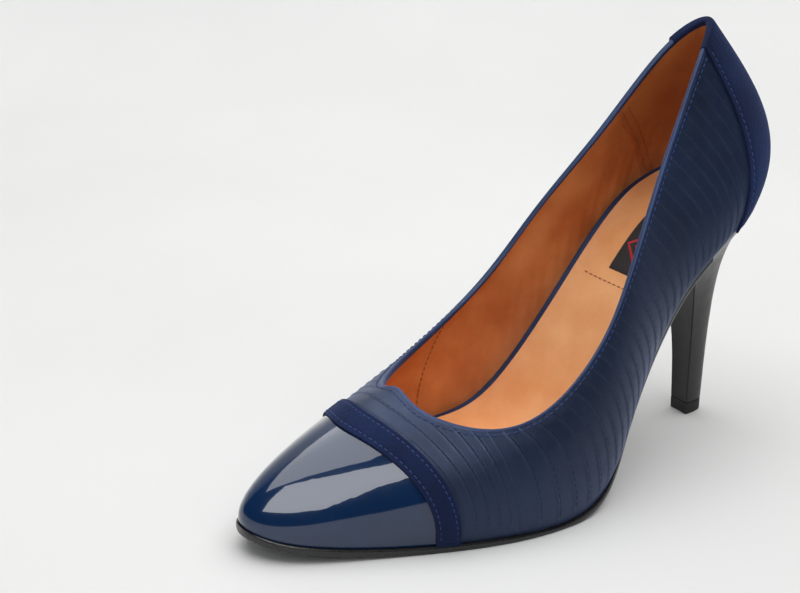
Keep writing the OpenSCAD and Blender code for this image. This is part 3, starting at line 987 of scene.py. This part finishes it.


# The roll's paler navy is a painted highlight along it.
roll = ring_sweep("topline_roll", ROLL, np.arange(0, TURN, 0.05), PAINTED_HIGHLIGHT_NAVY)
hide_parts("topline_binding")
FOLD = [(1.02 * a + (FOLD_OUT if a > -0.5 else 0.0), b + FOLD_UP) for a, b in ROLL]
fold_t = np.linspace(COVER_T + COVER_LEAN, TURN - COVER_T - COVER_LEAN, 60)
cover_fold = ring_sweep("counter_cover_fold", FOLD, fold_t, SUEDE, closed=False)
print("roll:", len(roll.data.vertices), "points")

# %% [markdown]
# ## Stitches
#
# A lockstitch shows as a row of short thread bars that dip into the leather at both ends. A dashed line in
# the material could stand for it, but thread catches light and throws a small shadow. So each bar is a small
# bent tube with five rings. A row follows any line on the skin, given as addresses and a depth.

# %% Stitch rows
THREAD_R = 0.2
TUCK_THREAD_R = 0.13
LINING_THREAD_R = 0.16
BAR_SHAPE = [(0.0, -0.25, 0.7), (0.12, 0.08, 1.0), (0.5, 0.2, 1.05), (0.88, 0.08, 1.0), (1.0, -0.25, 0.7)]
BAR_SIDES = 6


def stitch_bars(line, up, pitch, thread=THREAD_R, share=0.74):
    """Points and faces of a row of thread bars along a dense line; up is the leather's direction there."""
    run = np.concatenate([[0], np.cumsum(np.linalg.norm(np.diff(line, axis=0), axis=1))])

    def at(s, what):
        return np.stack([np.interp(s, run, what[:, i]) for i in range(3)], -1)

    starts = np.arange(pitch / 2, run[-1] - pitch, pitch)
    points, faces = [], []
    ring = 2 * math.pi * np.arange(BAR_SIDES) / BAR_SIDES
    for number, s in enumerate(starts):
        ends = at(np.array([s, s + pitch * share]), line)
        n = unit(at(s + pitch * share / 2, up))
        along = unit(ends[1] - ends[0])
        side = unit(np.cross(along, n))
        for share_along, lift, girth in BAR_SHAPE:
            centre = ends[0] + (ends[1] - ends[0]) * share_along + n * lift * thread / THREAD_R
            points += [centre + thread * girth * (math.cos(a) * side + math.sin(a) * n) for a in ring]
        base = number * BAR_SIDES * len(BAR_SHAPE)
        for i in range(len(BAR_SHAPE) - 1):
            for k in range(BAR_SIDES):
                a, b = base + i * BAR_SIDES + k, base + i * BAR_SIDES + (k + 1) % BAR_SIDES
                faces.append((a, b, b + BAR_SIDES, a + BAR_SIDES))
        faces.append(tuple(base + k for k in reversed(range(BAR_SIDES))))
        faces.append(tuple(base + (len(BAR_SHAPE) - 1) * BAR_SIDES + k for k in range(BAR_SIDES)))
    return points, faces


def stitch_rows(name, rows, pitch, material, thread=THREAD_R, inside=False):
    """Several rows of stitches as one piece. A row is (t, v, depth of the leather's face)."""
    points, faces = [], []
    way = -1 if inside else 1
    for t, v, depth in rows:
        t, v = np.broadcast_arrays(np.asarray(t, float), np.asarray(v, float))
        some, more = stitch_bars(layer_point(t, v, depth + 0 * t), way * outward(t, v), pitch, thread)
        faces += [tuple(k + len(points) for k in f) for f in more]
        points += some
    piece = add_piece(name, points, faces, material)
    print(name, len(faces) // (BAR_SIDES * (len(BAR_SHAPE) - 1) + 2), "stitches")


# %% [markdown]
# ### Rows along the edges
#
# One row holds the folded topline, two hold the band and one each edge of the counter cover. Each runs at an
# even distance from its edge. On the suede the thread lies in the dip that it has drawn.

# %% Topline, band and cover rows
IN_BAND_DIP = -(SUEDE_T + 0.12)
IN_COVER_DIP = -(SUEDE_T + 0.14)
FROM_EDGE = 1.5      # millimetres


def millimetres_down(t, down):
    """Height v that lies down millimetres below the topline."""
    slope = np.linalg.norm(skin(t, 1.0) - skin(t, 0.98), axis=-1) / 0.02
    return 1 - down / slope


front_t = np.linspace(-(COVER_T + COVER_LEAN), COVER_T + COVER_LEAN, 900)
topline_row = (front_t, millimetres_down(front_t, 1.9), -0.02)
stitch_rows("topline_stitches", [topline_row], 2.4, THREAD)


def band_row(target):
    """A row across the shoe, at a set distance behind the cap's edge."""
    ends = [float(t_on_line(side, 0.02, target)) for side in (-1, 1)]
    t = crowded(*ends, 500)
    return t, v_on_line(t, target), IN_BAND_DIP


stitch_rows("band_stitches", [band_row(FROM_EDGE), band_row(BAND_W - FROM_EDGE)], 2.2, THREAD)
edge_v = np.linspace(0.02, 0.985, 200)
cover_row_t = cover_start(edge_v) + 0.055
cover_rows_sewn = [(t, edge_v, IN_COVER_DIP) for t in (cover_row_t, TURN - cover_row_t)]
stitch_rows("cover_stitches", cover_rows_sewn, 2.4, THREAD)

# %% [markdown]
# ### Rows beside the tucks and the inner seam
#
# Each tuck is held by fine stitches in the valley behind it. They follow the same lines as the ridges, a
# little further back, in a darker and thinner thread. The seam of the inner quarter has two rows.

# %% Tuck and seam rows
BEHIND_TUCK = 0.42   # millimetres
VALLEY = 0.06        # depth of the valley's floor


def tuck_rows(side, end_k, low=0.05):
    """A row of fine stitches in the valley behind each tuck."""
    start = topline_length(side, join_k[side])
    count = math.floor((topline_length(side, end_k) - start - 1.3) / TUCK_PITCH)
    rows = []
    for number in range(1, count + 1):
        k = k_at_length(side, start + number * TUCK_PITCH + BEHIND_TUCK)
        v = np.linspace(0.955, low, 160)
        rows.append((side * tuck_t(side, k, v), v, VALLEY))
    return rows


def front_tuck_rows():
    """The rows over the toes, each cut where it would leave the leather."""
    rows = []
    for number in range(1, 5):
        target = JOIN_LAG - number * TUCK_PITCH + BEHIND_TUCK
        t = np.linspace(-4.4, 4.4, 900)
        v = v_on_line(t, target)
        keep = (v > 0.05) & (v < 0.96)
        for part in np.split(np.arange(len(t)), np.flatnonzero(np.diff(keep.astype(int))) + 1):
            if keep[part[0]] and len(part) > 20:
                rows.append((t[part], v[part], VALLEY))
    return rows


outer_rows = tuck_rows(1, QUARTER_END - 0.1) + front_tuck_rows()
inner_rows = tuck_rows(-1, QUARTER_END - 0.1)
stitch_rows("tuck_stitches_outer", outer_rows, 2.6, DARK_THREAD, TUCK_THREAD_R)
stitch_rows("tuck_stitches_inner", inner_rows, 2.6, DARK_THREAD, TUCK_THREAD_R)
seam_v = np.linspace(0.02, 0.96, 160)
seam_rows = [(-INNER_SEAM - off, seam_v, -0.02) for off in (0.05, 0.11)]
stitch_rows("inner_seam_stitches", seam_rows, 2.2, THREAD)

# %% [markdown]
# ## Linings and heel grip
#
# Inside, tan leather lines the whole upper in four parts. Lasting leaves shallow folds in it, most of all
# low down beside the ball of the foot. A cloth simulation could fold it, but a few long waves in its faces
# do the same and come out alike each time. The heel grip is laid over the ends of the quarter linings along
# a slanted edge.

# %% Lining panels
LINING_T = 0.8
LINING_SEAM = 3.3
GRIP_T = 6.9
GRIP_LEAN = -0.7


def lining_depth(v):
    """The lining lies close behind the leather at the topline and leaves room for stiffeners below."""
    return LEATHER + 0.1 + 1.3 * (1 - ease((v - 0.6) / 0.35))


def folds(t, v):
    """Depth of the soft folds of the lining, in millimetres."""
    low = np.exp(-((v - 0.3) / 0.28) ** 2)
    waves = (np.sin(9.1 * t + 4.0 * v) + 0.7 * np.sin(17.3 * t - 7.0 * v + 1.0)
             + 0.5 * np.sin(31.0 * t + 9.0 * v))
    return 0.16 * low * waves + 0.05 * np.sin(5.0 * t + 15 * v)


def grip_edge(v):
    """Front edge of the heel grip at height v."""
    return GRIP_T + GRIP_LEAN * v


def lining_edge(v):
    """Seam between the vamp lining and a quarter lining at height v."""
    return LINING_SEAM + 0 * v


def lining_panel(name, node, start, end, columns, material, lift=0.0):
    """Lining between two edges start(v) and end(v). Lift brings it further into the shoe."""
    s = np.linspace(0, 1, columns)
    s = np.unique(np.concatenate([s, np.linspace(0, 0.04, 5), np.linspace(0.96, 1, 5)]))
    v = np.repeat(np.linspace(0.0, 1.0, 56)[None, :], len(s), 0)
    t = start(v) + (end(v) - start(v)) * s[:, None]
    depth = lining_depth(v) + lift * (1 - ease((v - 0.9) / 0.1))
    wave = folds(t, v)
    piece = plate_piece(name, t, v, depth + 0.02 * wave, depth + LINING_T + wave * (v < 1), material)
    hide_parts(node)
    print(name, len(piece.data.vertices), "points")


lining_panel("vamp_lining_leather", "vamp_lining", lambda v: -lining_edge(v), lining_edge, 150, LINING)
lining_panel("outer_lining_leather", "outer_quarter_lining", lambda v: lining_edge(v) + 0.01,
             lambda v: grip_edge(v) + 0.05, 110, LINING)
lining_panel("inner_lining_leather", "inner_quarter_lining", lambda v: TURN - grip_edge(v) - 0.05,
             lambda v: TURN - lining_edge(v) - 0.01, 110, LINING)
lining_panel("heel_grip_leather", "heel_grip", grip_edge, lambda v: TURN - grip_edge(v), 90, GRIP, 0.35)

# %% [markdown]
# ### Seams inside
#
# The grip is sewn to the linings with two rows along each edge, and one row closes each lining seam. They
# are the same bars as outside, turned round, because here the thread stands towards the foot.


# %% Inner rows
def inside_row(t, v, extra):
    """A stitch row on the lining's inner face, moved in by extra."""
    return t, v, lining_depth(v) + LINING_T + extra


grip_v = np.linspace(0.12, 0.97, 160)
grip_rows = []
for off in (0.05, 0.13):
    row_t = grip_edge(grip_v) + off
    grip_rows += [inside_row(row_t, grip_v, 0.4), inside_row(TURN - row_t, grip_v, 0.4)]
stitch_rows("grip_stitches", grip_rows, 2.2, TAN_THREAD, LINING_THREAD_R, inside=True)
lining_rows = [inside_row(side * (lining_edge(grip_v) + 0.03), grip_v, 0.05) for side in (1, -1)]
stitch_rows("lining_seam_stitches", lining_rows, 2.2, TAN_THREAD, LINING_THREAD_R, inside=True)

# %% [markdown]
# ## The sole's own coordinates
#
# Sock, pads, rim and outsole all follow the foot's outline and the curve of the sole. Projecting flat shapes
# down on the last would do it too. Instead a grid is laid over the plan, and its height is measured square
# to the sole's side profile, so every layer keeps its thickness on the steep waist.

# %% The shape of the sole, from the feather line
BREAST_T = 6.42


def plan_point(t, inset):
    """The feather line in plan, moved in by inset."""
    p, q = spline(FEATHER, t), spline(FEATHER, t + STEP)
    n = unit(np.stack([q[..., 1] - p[..., 1], p[..., 0] - q[..., 0]], -1))
    inset = np.asarray(inset, float)
    return p[..., :2] - n * (inset[..., None] if inset.ndim else inset)


def side_profile(t, up):
    """The sole's profile seen from the side, raised square to itself."""
    p, q = spline(FEATHER, t), spline(FEATHER, t + STEP)
    n = unit(np.stack([p[..., 2] - q[..., 2], q[..., 1] - p[..., 1]], -1))
    return p[..., 1:] + n * up


def sole_height(y, up):
    """Height above the ground at y of the surface that lies up millimetres over the feather line."""
    edge = side_profile(np.linspace(0.4, 7.6, 200), up)
    ahead, behind = unit(edge[0] - edge[1]), unit(edge[-1] - edge[-2])
    edge = np.concatenate([[edge[0] + 14 * ahead], edge, [edge[-1] + 14 * behind]])
    return np.interp(y, edge[:, 0], edge[:, 1])


def widths(y, inset):
    """Outer and inner edge in plan at y, for an inset that may vary along t."""
    t = np.linspace(0, 8, 600)
    edges = []
    for way in (t, TURN - t):
        p = plan_point(way, inset(t) if callable(inset) else inset)
        order = np.argsort(p[:, 1])
        edges.append(np.interp(y, p[order, 1], p[order, 0]))
    return edges


def plan_ends(inset):
    """Front and back end of the plan in y."""
    t = np.linspace(0, TURN, 1600)
    p = plan_point(t, inset(np.minimum(t, TURN - t)) if callable(inset) else inset)
    return float(p[:, 1].min()), float(p[:, 1].max())


def foot_grid(y, inset, across, up):
    """Points over a foot-shaped plan: up(x share, y) is the height over the feather line."""
    outer, inner = widths(y, inset)
    x = (outer + inner)[:, None] / 2 + (outer - inner)[:, None] / 2 * across[None, :]
    high = up(across[None, :], y[:, None])
    base = np.stack([sole_height(y, h) for h in (0.0, 6.0)], 0)
    z = base[0][:, None] + (base[1] - base[0])[:, None] * high / 6.0
    return np.stack([x, np.repeat(y[:, None], len(across), 1), z], -1)


print("the feather line in plan runs from y =", [round(y, 1) for y in plan_ends(0.0)])

# %% [markdown]
# ## Sock
#
# The foot stands on a thin tan sock glued over foam. It crowns a little over the heel pad and the ball
# pad, and its edge turns up against the lining. It could be draped over the pads. Two soft bumps in its
# height do the same, and a faint ripple keeps it from looking moulded.

# %% Sock
SOCK_LOW, SOCK_TOP = 5.15, 5.95
SOCK_IN = 6.2


def sock_crown(s, y):
    """Height of the sock's face over the feather line; s runs from -1 to 1 across."""
    heel_pad = 0.9 * np.exp(-((y - 82) / 20) ** 2)
    ball_pad = 0.6 * np.exp(-((y + 48) / 26) ** 2)
    turned_up = 0.9 * np.abs(s) ** 7
    ripple = 0.05 * np.sin(0.35 * y + 2.5 * s) * np.sin(0.11 * y - 3 * s)
    return SOCK_TOP + (heel_pad + ball_pad) * (1 - s * s) + turned_up + ripple


y0, y1 = plan_ends(SOCK_IN)
sock_y = (y0 + y1) / 2 - (y1 - y0) / 2 * np.cos(np.linspace(0.03, math.pi - 0.03, 150))
sock_s = np.sin(np.linspace(-math.pi / 2, math.pi / 2, 41))
sock_face = foot_grid(sock_y, SOCK_IN, sock_s, sock_crown)
sock_back = foot_grid(sock_y, SOCK_IN, sock_s, lambda s, y: SOCK_LOW + 0.9 * np.abs(s) ** 7 + 0 * y)
sock_points, sock_faces = plate(sock_face, sock_back, 0.3)
sock = weld(add_piece("sock_leather", sock_points, sock_faces, SOCK))
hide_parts("sock")
print("sock:", len(sock.data.vertices), "points")

# %% [markdown]
# ## Rim of the insole
#
# Beside the sock the navy leather that wraps the insole board shows as a narrow rim. It is a strip that
# follows the feather line a few millimetres inside it and slips under the sock's edge.

# %% Rim
rim_t = np.linspace(3.0, 13.0, 260)
rim_rows = [(2.6, 5.9), (3.4, 5.75), (4.6, 5.35), (6.0, 5.1), (9.0, 5.05)]
rim_lines = []
for inset, high in rim_rows:
    plan = plan_point(rim_t, inset)
    rim_lines.append(np.concatenate([plan, sole_height(plan[:, 1], high)[:, None]], 1))
rim_top = np.stack(rim_lines, 1)
rim_low = rim_top - np.array([0, 0, 1.0])
rim_points, rim_faces = plate(rim_top, rim_low, 0.25)
# The rim's paler navy is a painted highlight, the light along it.
rim = weld(add_piece("insole_rim_leather", rim_points, rim_faces, PAINTED_HIGHLIGHT_NAVY))
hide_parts("insole_rim")
print("rim:", len(rim.data.vertices), "points")

# %% [markdown]
# ## Woven label
#
# A black ribbon is sewn on the sock under the heel. It is plain, with three pairs of red diamonds and no
# letters. The diamonds could be drawn in the material, but woven ones stand up from the ribbon, so each is a
# raised outline that follows the sock's curve.


# %% Label
def woven_ribbon():
    """Black satin with fine ribs across it."""
    f = Finish("label", roughness=0.75, specular_ior_level=0.3, sheen_weight=0.2)
    weft = f.noise(5.0, 2, (0.25, 1.0, 1.0))
    f.colour(f.blend(f.mapped(weft, 0, 1), linear("0c0b0d"), linear("262328")))
    f.rough(f.mapped(weft, 0.65, 0.85))
    f.bump(weft, 0.08, 0.9)
    return f.material


LABEL = woven_ribbon()
RED = fibre("label_red", "a3161c", "cf2a2c", 5.0, 0.7, 0.08)
LABEL_X = 5.0
LABEL_Y = (49.0, 85.0)
LABEL_HALF = 10.0


def on_sock(x, y, lift):
    """Height of a point that lies lift over the sock."""
    outer, inner = widths(y, SOCK_IN)
    s = (2 * x - outer - inner) / (outer - inner)
    low, high = sole_height(y, 0.0), sole_height(y, 6.0)
    return low + (high - low) * (sock_crown(s, y) + lift) / 6.0


def sock_patch(x, y, lift):
    """Points over the sock at x, y."""
    return np.stack([x, y, on_sock(x.ravel(), y.ravel(), lift).reshape(x.shape)], -1)


label_side = np.linspace(LABEL_X - LABEL_HALF, LABEL_X + LABEL_HALF, 24)
label_x, label_y = np.meshgrid(label_side, np.linspace(*LABEL_Y, 40))
label_face = sock_patch(label_x, label_y, 0.42)
label_points, label_faces = plate(label_face, sock_patch(label_x, label_y, 0.05), 0.12)
label = weld(add_piece("woven_label", label_points, label_faces, LABEL))
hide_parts("sock_label")


def diamond(middle_y, half_x, half_y, line, start):
    """A raised diamond outline on the label."""
    corners = np.array([[1, 0], [0, 1], [-1, 0], [0, -1], [1, 0]], float)
    path = np.concatenate([np.linspace(corners[i], corners[i + 1], 9)[:-1] for i in range(4)])
    rings = [sock_patch(LABEL_X + path[:, 0] * (half_x + w), middle_y + path[:, 1] * (half_y + w), h)
             for w, h in ((-line, 0.36), (-line, 0.6), (0, 0.6), (0, 0.36))]
    n = len(path)
    points = np.concatenate(rings)
    faces = []
    for r in range(4):
        here, beyond = start + r * n, start + (r + 1) % 4 * n
        faces += [(here + k, here + (k + 1) % n, beyond + (k + 1) % n, beyond + k) for k in range(n)]
    return points, faces


motif_points, motif_faces, made = [], [], 0
for middle in (56.0, 67.0, 78.0):
    for half_x, half_y in ((8.6, 4.9), (4.4, 2.5)):
        some, more = diamond(middle, half_x, half_y, 1.1, made)
        motif_points.append(some)
        motif_faces += more
        made += len(some)
motif = weld(add_piece("label_diamonds", np.concatenate(motif_points), motif_faces, RED))

row_x = np.linspace(-16.5, 19.5, 60)
row_y = np.full(60, 46.0)
sock_line = np.stack([row_x, row_y, on_sock(row_x, row_y, 0.0)], -1)
row_points, row_faces = stitch_bars(sock_line, np.repeat([[0.0, -0.7, 0.7]], 60, 0), 2.6, 0.18)
add_piece("sock_stitches", row_points, row_faces, TAN_THREAD)
print("label:", len(label.data.vertices), "points; diamonds:", len(motif.data.vertices))

# %% [markdown]
# ## Outsole
#
# The outsole follows the feather line, stands out a little past the upper round the forefoot and hides
# inside it under the waist. Its edge is rounded. Fine ribs are moulded into the tread, and the waist stays
# smooth and polished. Ribs cut one by one would need many edges. Here rows of the underside rise and fall
# along one wave, which fades out at the edge and at both ends of the tread.

# %% Outsole
SOLE_T = 2.8
SOLE_EDGE = 1.2
WAIST_EDGE = -0.8
EDGE_ROUND = 0.55


def sole_inset(t):
    """How far the flat part of the sole stays inside the feather line."""
    return -(SOLE_EDGE + (WAIST_EDGE - SOLE_EDGE) * ease(t - 3.9)) + EDGE_ROUND


breast_y = float(side_profile(np.array(BREAST_T), 0.0)[0])
toe_y, _ = plan_ends(sole_inset)
tread_y = (-96.0, -4.0)
toe_rows = toe_y + (tread_y[0] - toe_y) * (1 - np.cos(np.linspace(0.06, math.pi / 2, 30)))
sole_y = np.concatenate([toe_rows, np.arange(tread_y[0] + 0.4, tread_y[1], 0.4),
                         np.linspace(tread_y[1], breast_y, 90)])
sole_s = np.sin(np.linspace(-math.pi / 2, math.pi / 2, 49))
sole_top = foot_grid(sole_y, sole_inset, sole_s, lambda s, y: 0 * s * y)
sole_bottom = sole_top.copy()
under = np.maximum(0.0, sole_height(sole_y, -SOLE_T))
tread = ease((sole_y - tread_y[0]) / 4) * ease((tread_y[1] - sole_y) / 4)
ribs = 0.5 - 0.5 * np.cos(2 * math.pi * sole_y / 2.4)
inside = ease((0.86 - np.abs(sole_s)) / 0.05)
sole_bottom[..., 2] = under[:, None] + 0.4 * (tread * ribs)[:, None] * inside[None, :]
sole_points, sole_faces = plate(sole_top, sole_bottom, EDGE_ROUND, ends=False)
sole = weld(add_piece("outsole_moulded", sole_points, sole_faces, SOLE))
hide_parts("outsole")
print("outsole: breast at y =", round(breast_y, 1), "mm")

# %% [markdown]
# ## Heel and top piece
#
# The heel is one moulded block, lacquered. A section has a flat breast with crisp corners and a round back.
# A turned shape could not have that breast. So smooth curves through a few sections, from the tip to the
# seat, give the flare. A steel tube runs up its middle, and the pin of the top piece is driven into it, so
# the block is made with that bore.

# %% Heel sections: front y, front z, back y, back z, half width
HEEL_ROWS = [[71, 72.5, 106.5, 89, 21], [75, 64.5, 100.6, 77, 14.2], [78.5, 56, 97.2, 65, 10],
             [81.2, 46.5, 95.7, 53, 7.5], [82.8, 36, 95, 40, 6], [83.7, 25, 94.6, 27, 5.1],
             [84.2, 14, 94.4, 15, 4.7]]
TOP_PIECE_H = 5.0
TIP_ROW = [84.5, TOP_PIECE_H + 0.05, 94.2, TOP_PIECE_H + 0.05, 4.5]
FAN = 36
BREAST_POINTS = 8
DOWEL_Y = 89.4
DOWEL_R = 2.1
DOWEL_TOP = 62.0


def close_ring(outer, inner, hollow=0.25):
    """Joins two half sections and puts points across the breast, drawn in a little."""
    ring = np.concatenate([outer, inner[::-1]])
    s = np.linspace(0, 1, BREAST_POINTS + 2)[1:-1]
    front = ring[-1] + (ring[0] - ring[-1]) * s[:, None]
    front[:, 1] += hollow * np.sin(math.pi * s)
    return np.concatenate([ring, front])


def heel_ring(row):
    """One section of the heel from its row."""
    front_y, front_z, back_y, back_z, half_width = row
    a = np.linspace(0, math.pi / 2, FAN + 1)
    u = np.sin(a) ** 0.9
    x = half_width * np.cos(a).clip(0) ** 0.55
    half = np.stack([x, front_y + (back_y - front_y) * u, front_z + (back_z - front_z) * u], -1)
    return close_ring(half, half * np.array([-1, 1, 1]))


def seat_ring():
    """The section under the seat, along the feather line."""
    halves = []
    for side in (1, -1):
        t = 8 + side * (8 - BREAST_T) * (np.linspace(0, 1, FAN + 1) - 1)
        halves.append(np.concatenate([plan_point(t, 0.3), spline(FEATHER, t)[:, 2:] - 0.1], 1))
    return close_ring(*halves, hollow=0.0)


def smooth_between(rings, steps=8):
    """Catmull-Rom curves through matching points of the rings."""
    padded = [2 * rings[0] - rings[1], *rings, 2 * rings[-1] - rings[-2]]
    out = []
    for i in range(1, len(padded) - 2):
        p0, p1, p2, p3 = padded[i - 1:i + 3]
        for f in np.arange(steps) / steps:
            out.append(0.5 * (2 * p1 + (p2 - p0) * f + (2 * p0 - 5 * p1 + 4 * p2 - p3) * f**2
                              + (3 * p1 - p0 - 3 * p2 + p3) * f**3))
    return [*out, padded[-2]]


print("heel rows:", len(HEEL_ROWS))


# %% Heel and top piece
def ring_loft(name, rings, material, body, bevel):
    """A closed solid through rings of matching points, with softened corners."""
    n, m = len(rings), len(rings[0])
    faces = [(i * m + k, i * m + (k + 1) % m, (i + 1) * m + (k + 1) % m, (i + 1) * m + k)
             for i in range(n - 1) for k in range(m)]
    faces += [tuple(reversed(range(m))), tuple((n - 1) * m + k for k in range(m))]
    piece = weld(add_piece(name, np.concatenate(rings), faces, material, body))
    edge = piece.modifiers.new("edge", "BEVEL")
    edge.width = bevel * MM
    edge.segments = 3
    edge.limit_method = "ANGLE"
    edge.angle_limit = math.radians(SHARP)
    edge.harden_normals = False
    return piece


sections = smooth_between([heel_ring(row) for row in [TIP_ROW] + HEEL_ROWS[::-1]] + [seat_ring()])
bore_middle = np.array([0, DOWEL_Y])
to_bore = unit(sections[0][:, :2] - bore_middle) * DOWEL_R + bore_middle
bore = [np.concatenate([to_bore, np.full((len(to_bore), 1), z)], 1) for z in (DOWEL_TOP, TIP_ROW[1])]
heel = ring_loft("heel_lacquered", bore + sections, LACQUER, "shoe", 0.4)
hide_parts("heel_block")

lift = [heel_ring([TIP_ROW[0] + 0.15, 0, TIP_ROW[2] - 0.1, 0, TIP_ROW[4] - 0.1]),
        heel_ring([TIP_ROW[0], TOP_PIECE_H, TIP_ROW[2], TOP_PIECE_H, TIP_ROW[4]])]
top_piece = ring_loft("top_piece_rubber", lift, RUBBER, "tip", 0.35)
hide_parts("top_piece")
print("heel:", len(sections), "sections")

# %% [markdown]
# ## What stays from the model
#
# Boards, filler, stiffeners, shank, rivets, screw, nails, tube and pin are right as they are. Each gets the
# finish of its slot. New meshes for them would only repeat what the model has.

# %% Finishes on the model's own nodes
INNER_FINISH = {"heel_dowel": STEEL, "top_piece_pin": STEEL, "heel_screw": STEEL, "heel_nails": STEEL,
                "shank": STEEL, "shank_rivets": BRASS, "insole_board": BOARD, "shank_board": BOARD,
                "bottom_filler": CORK, "toe_puff": STIFFENER, "heel_counter": STIFFENER}
for node, finish in INNER_FINISH.items():
    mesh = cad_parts[node].data
    mesh.materials.clear()
    mesh.materials.append(finish)
print("nodes kept:", len(INNER_FINISH))

# %% [markdown]
# ## Foam pads
#
# Two foam pads lie under the sock, at the ball of the foot and at the heel. Cut foam is a flat slab, but
# pressed under leather it swells in the middle. So each is a plate with a crowned face and soft edges.


# %% Pads
def pad_piece(name, node, inset, ends, low, high, crown):
    """A foam pad between two heights, with a crowned face and soft edges."""
    middle, reach = sum(ends) / 2, (ends[1] - ends[0]) / 2
    y = middle - reach * np.cos(np.linspace(0.1, math.pi - 0.1, 50))
    s = np.sin(np.linspace(-math.pi / 2, math.pi / 2, 25)) * 0.97

    def dome(s, y):
        return high - crown + crown * (1 - s**6) * (1 - ((y - middle) / reach) ** 6)

    def base(s, y):
        return low + 0 * s * y

    points, faces = plate(foot_grid(y, inset, s, dome), foot_grid(y, inset, s, base), 0.3)
    pad = weld(add_piece(name, points, faces, FOAM))
    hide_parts(node)
    print(name, len(pad.data.vertices), "points")


pad_piece("ball_pad_foam", "ball_pad", 6.3, (-87.5, -28.5), 2.75, 5.05, 0.5)
pad_piece("heel_pad_foam", "heel_pad", 9.6, (58.5, 96.5), 3.8, 5.05, 0.3)
